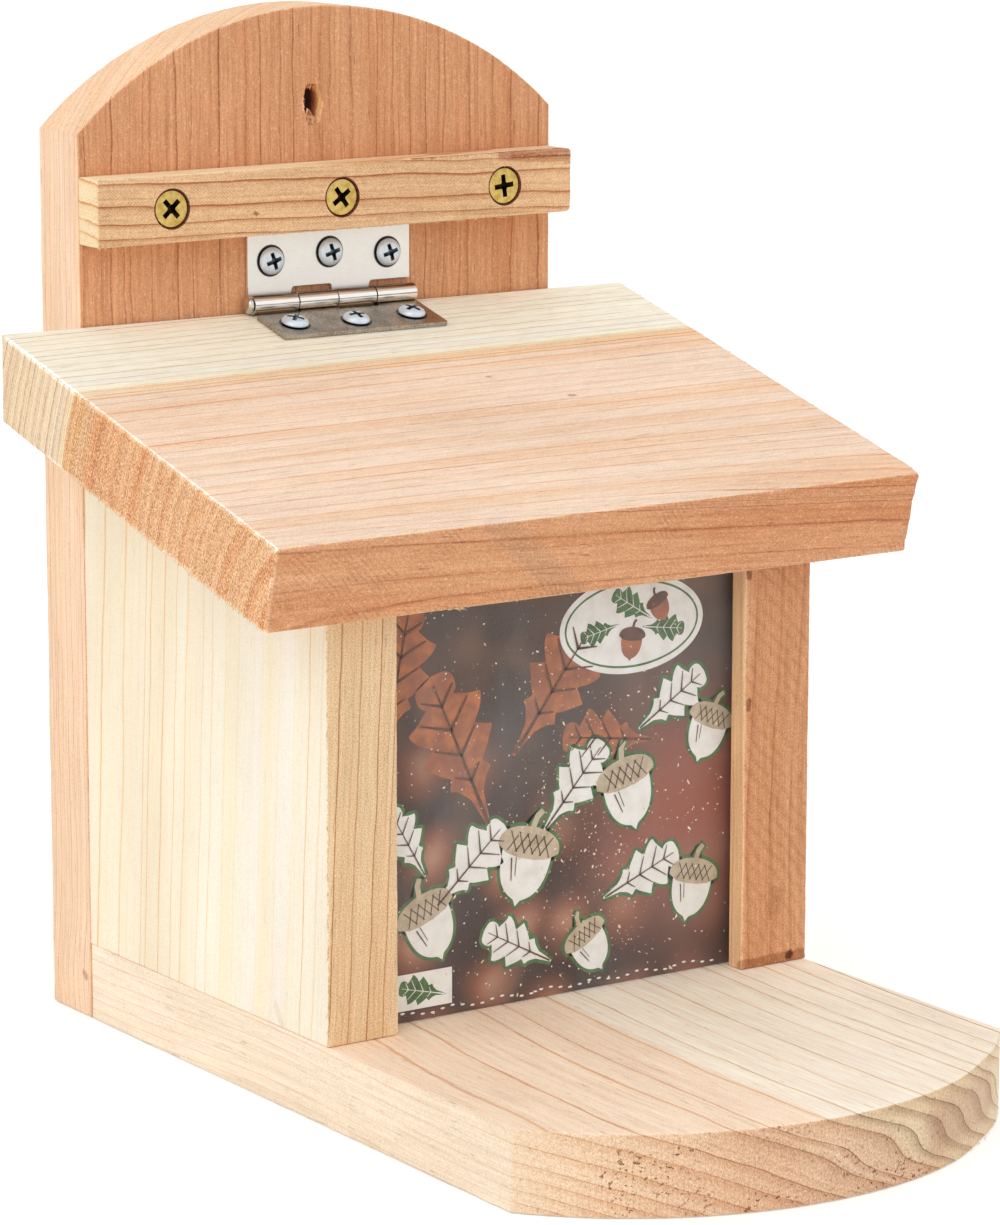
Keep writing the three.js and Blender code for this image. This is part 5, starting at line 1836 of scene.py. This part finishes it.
class FEEDER_OT_stage(bpy.types.Operator):
    """Make the floor, the light and the camera"""

    bl_idname = "feeder.stage"
    bl_label = "Stage"

    def execute(self, context):
        scene = context.scene
        stage = scene.feeder_stage
        scene.view_settings.view_transform = "Standard"
        make_camera(scene)
        make_sky(scene, stage.sky)
        make_floor(list(stage.floor))
        make_lamp("key_lamp", (-1.7, -1.1, 1.5), (0, 0, 0.12), 1.6, stage.key)
        return {"FINISHED"}


def make_camera(scene):
    """A camera where the photograph was taken from, level, aimed down a little."""
    data = bpy.data.cameras.new("camera")
    data.sensor_fit, data.sensor_width, data.lens = "AUTO", 36.0, 137.35
    data.clip_start, data.clip_end = 0.01, 50
    camera = bpy.data.objects.new("camera", data)
    scene.collection.objects.link(camera)
    forward = Vector((0.554, 0.8098, -0.1933)).normalized()
    right = Vector((0.8254, -0.5645, 0.001)).normalized()
    up = right.cross(forward).normalized()
    right = forward.cross(up)
    turn = Matrix((right, up, -forward)).transposed().to_4x4()
    camera.matrix_world = Matrix.Translation((-0.6489, -0.9272, 0.3397)) @ turn
    scene.camera = camera


def seen_directly(r):
    """1 for camera, glossy and transmission rays, which see the plain white background."""
    path = r.node("ShaderNodeLightPath").outputs
    plain = r.math("MAXIMUM", path["Is Camera Ray"], path["Is Glossy Ray"])
    return r.math("MAXIMUM", plain, path["Is Transmission Ray"])


def make_sky(scene, strength):
    world = bpy.data.worlds.new("studio_sky")
    scene.world = world
    world.use_nodes = True
    sky = Wiring(world.node_tree)
    background = sky.tree.nodes["Background"]
    background.inputs["Color"].default_value = (1, 1, 1, 1)
    sky.feed(background.inputs["Strength"], sky.spread(seen_directly(sky), 0, 1, strength, 1.0, smooth=False))


def make_floor(floor_colour):
    mesh = bmesh.new()
    reach, level = 6.0, -0.0002
    corners = ((-reach, -reach), (reach, -reach), (reach, reach), (-reach, reach))
    mesh.faces.new([mesh.verts.new((x, y, level)) for x, y in corners])
    floor = to_object(mesh, "studio_floor")
    r = Recipe("studio_floor_white")
    glow = {"Emission Color": (1, 1, 1, 1), "Emission Strength": r.times(seen_directly(r), 0.3)}
    finish_with(floor, r.finished((*floor_colour, 1), 0.9, **{"Specular IOR Level": 0.0}, **glow))


def make_lamp(name, place, target, size, power):
    """A round lamp aimed at a target."""
    data = bpy.data.lights.new(name, "AREA")
    data.shape, data.size, data.energy = "DISK", size, power
    lamp = bpy.data.objects.new(name, data)
    bpy.context.scene.collection.objects.link(lamp)
    lamp.location = place
    lamp.rotation_mode = "QUATERNION"
    lamp.rotation_quaternion = (Vector(target) - Vector(place)).to_track_quat("-Z", "Y")


# Add-on


class FEEDER_PT_panel(bpy.types.Panel):
    """Lists the feeder's pieces in the sidebar"""

    bl_idname = "FEEDER_PT_panel"
    bl_label = "Squirrel feeder box"
    bl_space_type = "VIEW_3D"
    bl_region_type = "UI"
    bl_category = "Feeder"

    def draw(self, context):
        layout = self.layout
        for operator in OPERATORS:
            layout.operator(operator.bl_idname)
        for group in GROUPS:
            column = layout.column()
            for name in GROUPS[group].__annotations__:
                column.prop(getattr(context.scene, group), name)


OPERATORS = (
    FEEDER_OT_stage, FEEDER_OT_back_board, FEEDER_OT_base_board, FEEDER_OT_side_panels, FEEDER_OT_batten,
    FEEDER_OT_lid, FEEDER_OT_hinge, FEEDER_OT_screws, FEEDER_OT_window, FEEDER_OT_fibres,
)
GROUPS = {"feeder_sizes": FeederSizes, "feeder_colours": FeederColours, "feeder_stage": FeederStage}
CLASSES = (*GROUPS.values(), *OPERATORS, FEEDER_PT_panel)


def register():
    for each in CLASSES:
        bpy.utils.register_class(each)
    for name, group in GROUPS.items():
        setattr(bpy.types.Scene, name, PointerProperty(type=group))


def unregister():
    for name in GROUPS:
        delattr(bpy.types.Scene, name)
    for each in reversed(CLASSES):
        bpy.utils.unregister_class(each)


def main():
    register()
    bpy.ops.feeder.stage()
    bpy.ops.feeder.back_board()
    bpy.ops.feeder.base_board()
    bpy.ops.feeder.side_panels()
    bpy.ops.feeder.batten()
    bpy.ops.feeder.lid()
    bpy.ops.feeder.hinge()
    bpy.ops.feeder.screws()
    bpy.ops.feeder.window()
    bpy.ops.feeder.fibres()


if __name__ == "__main__":
    main()
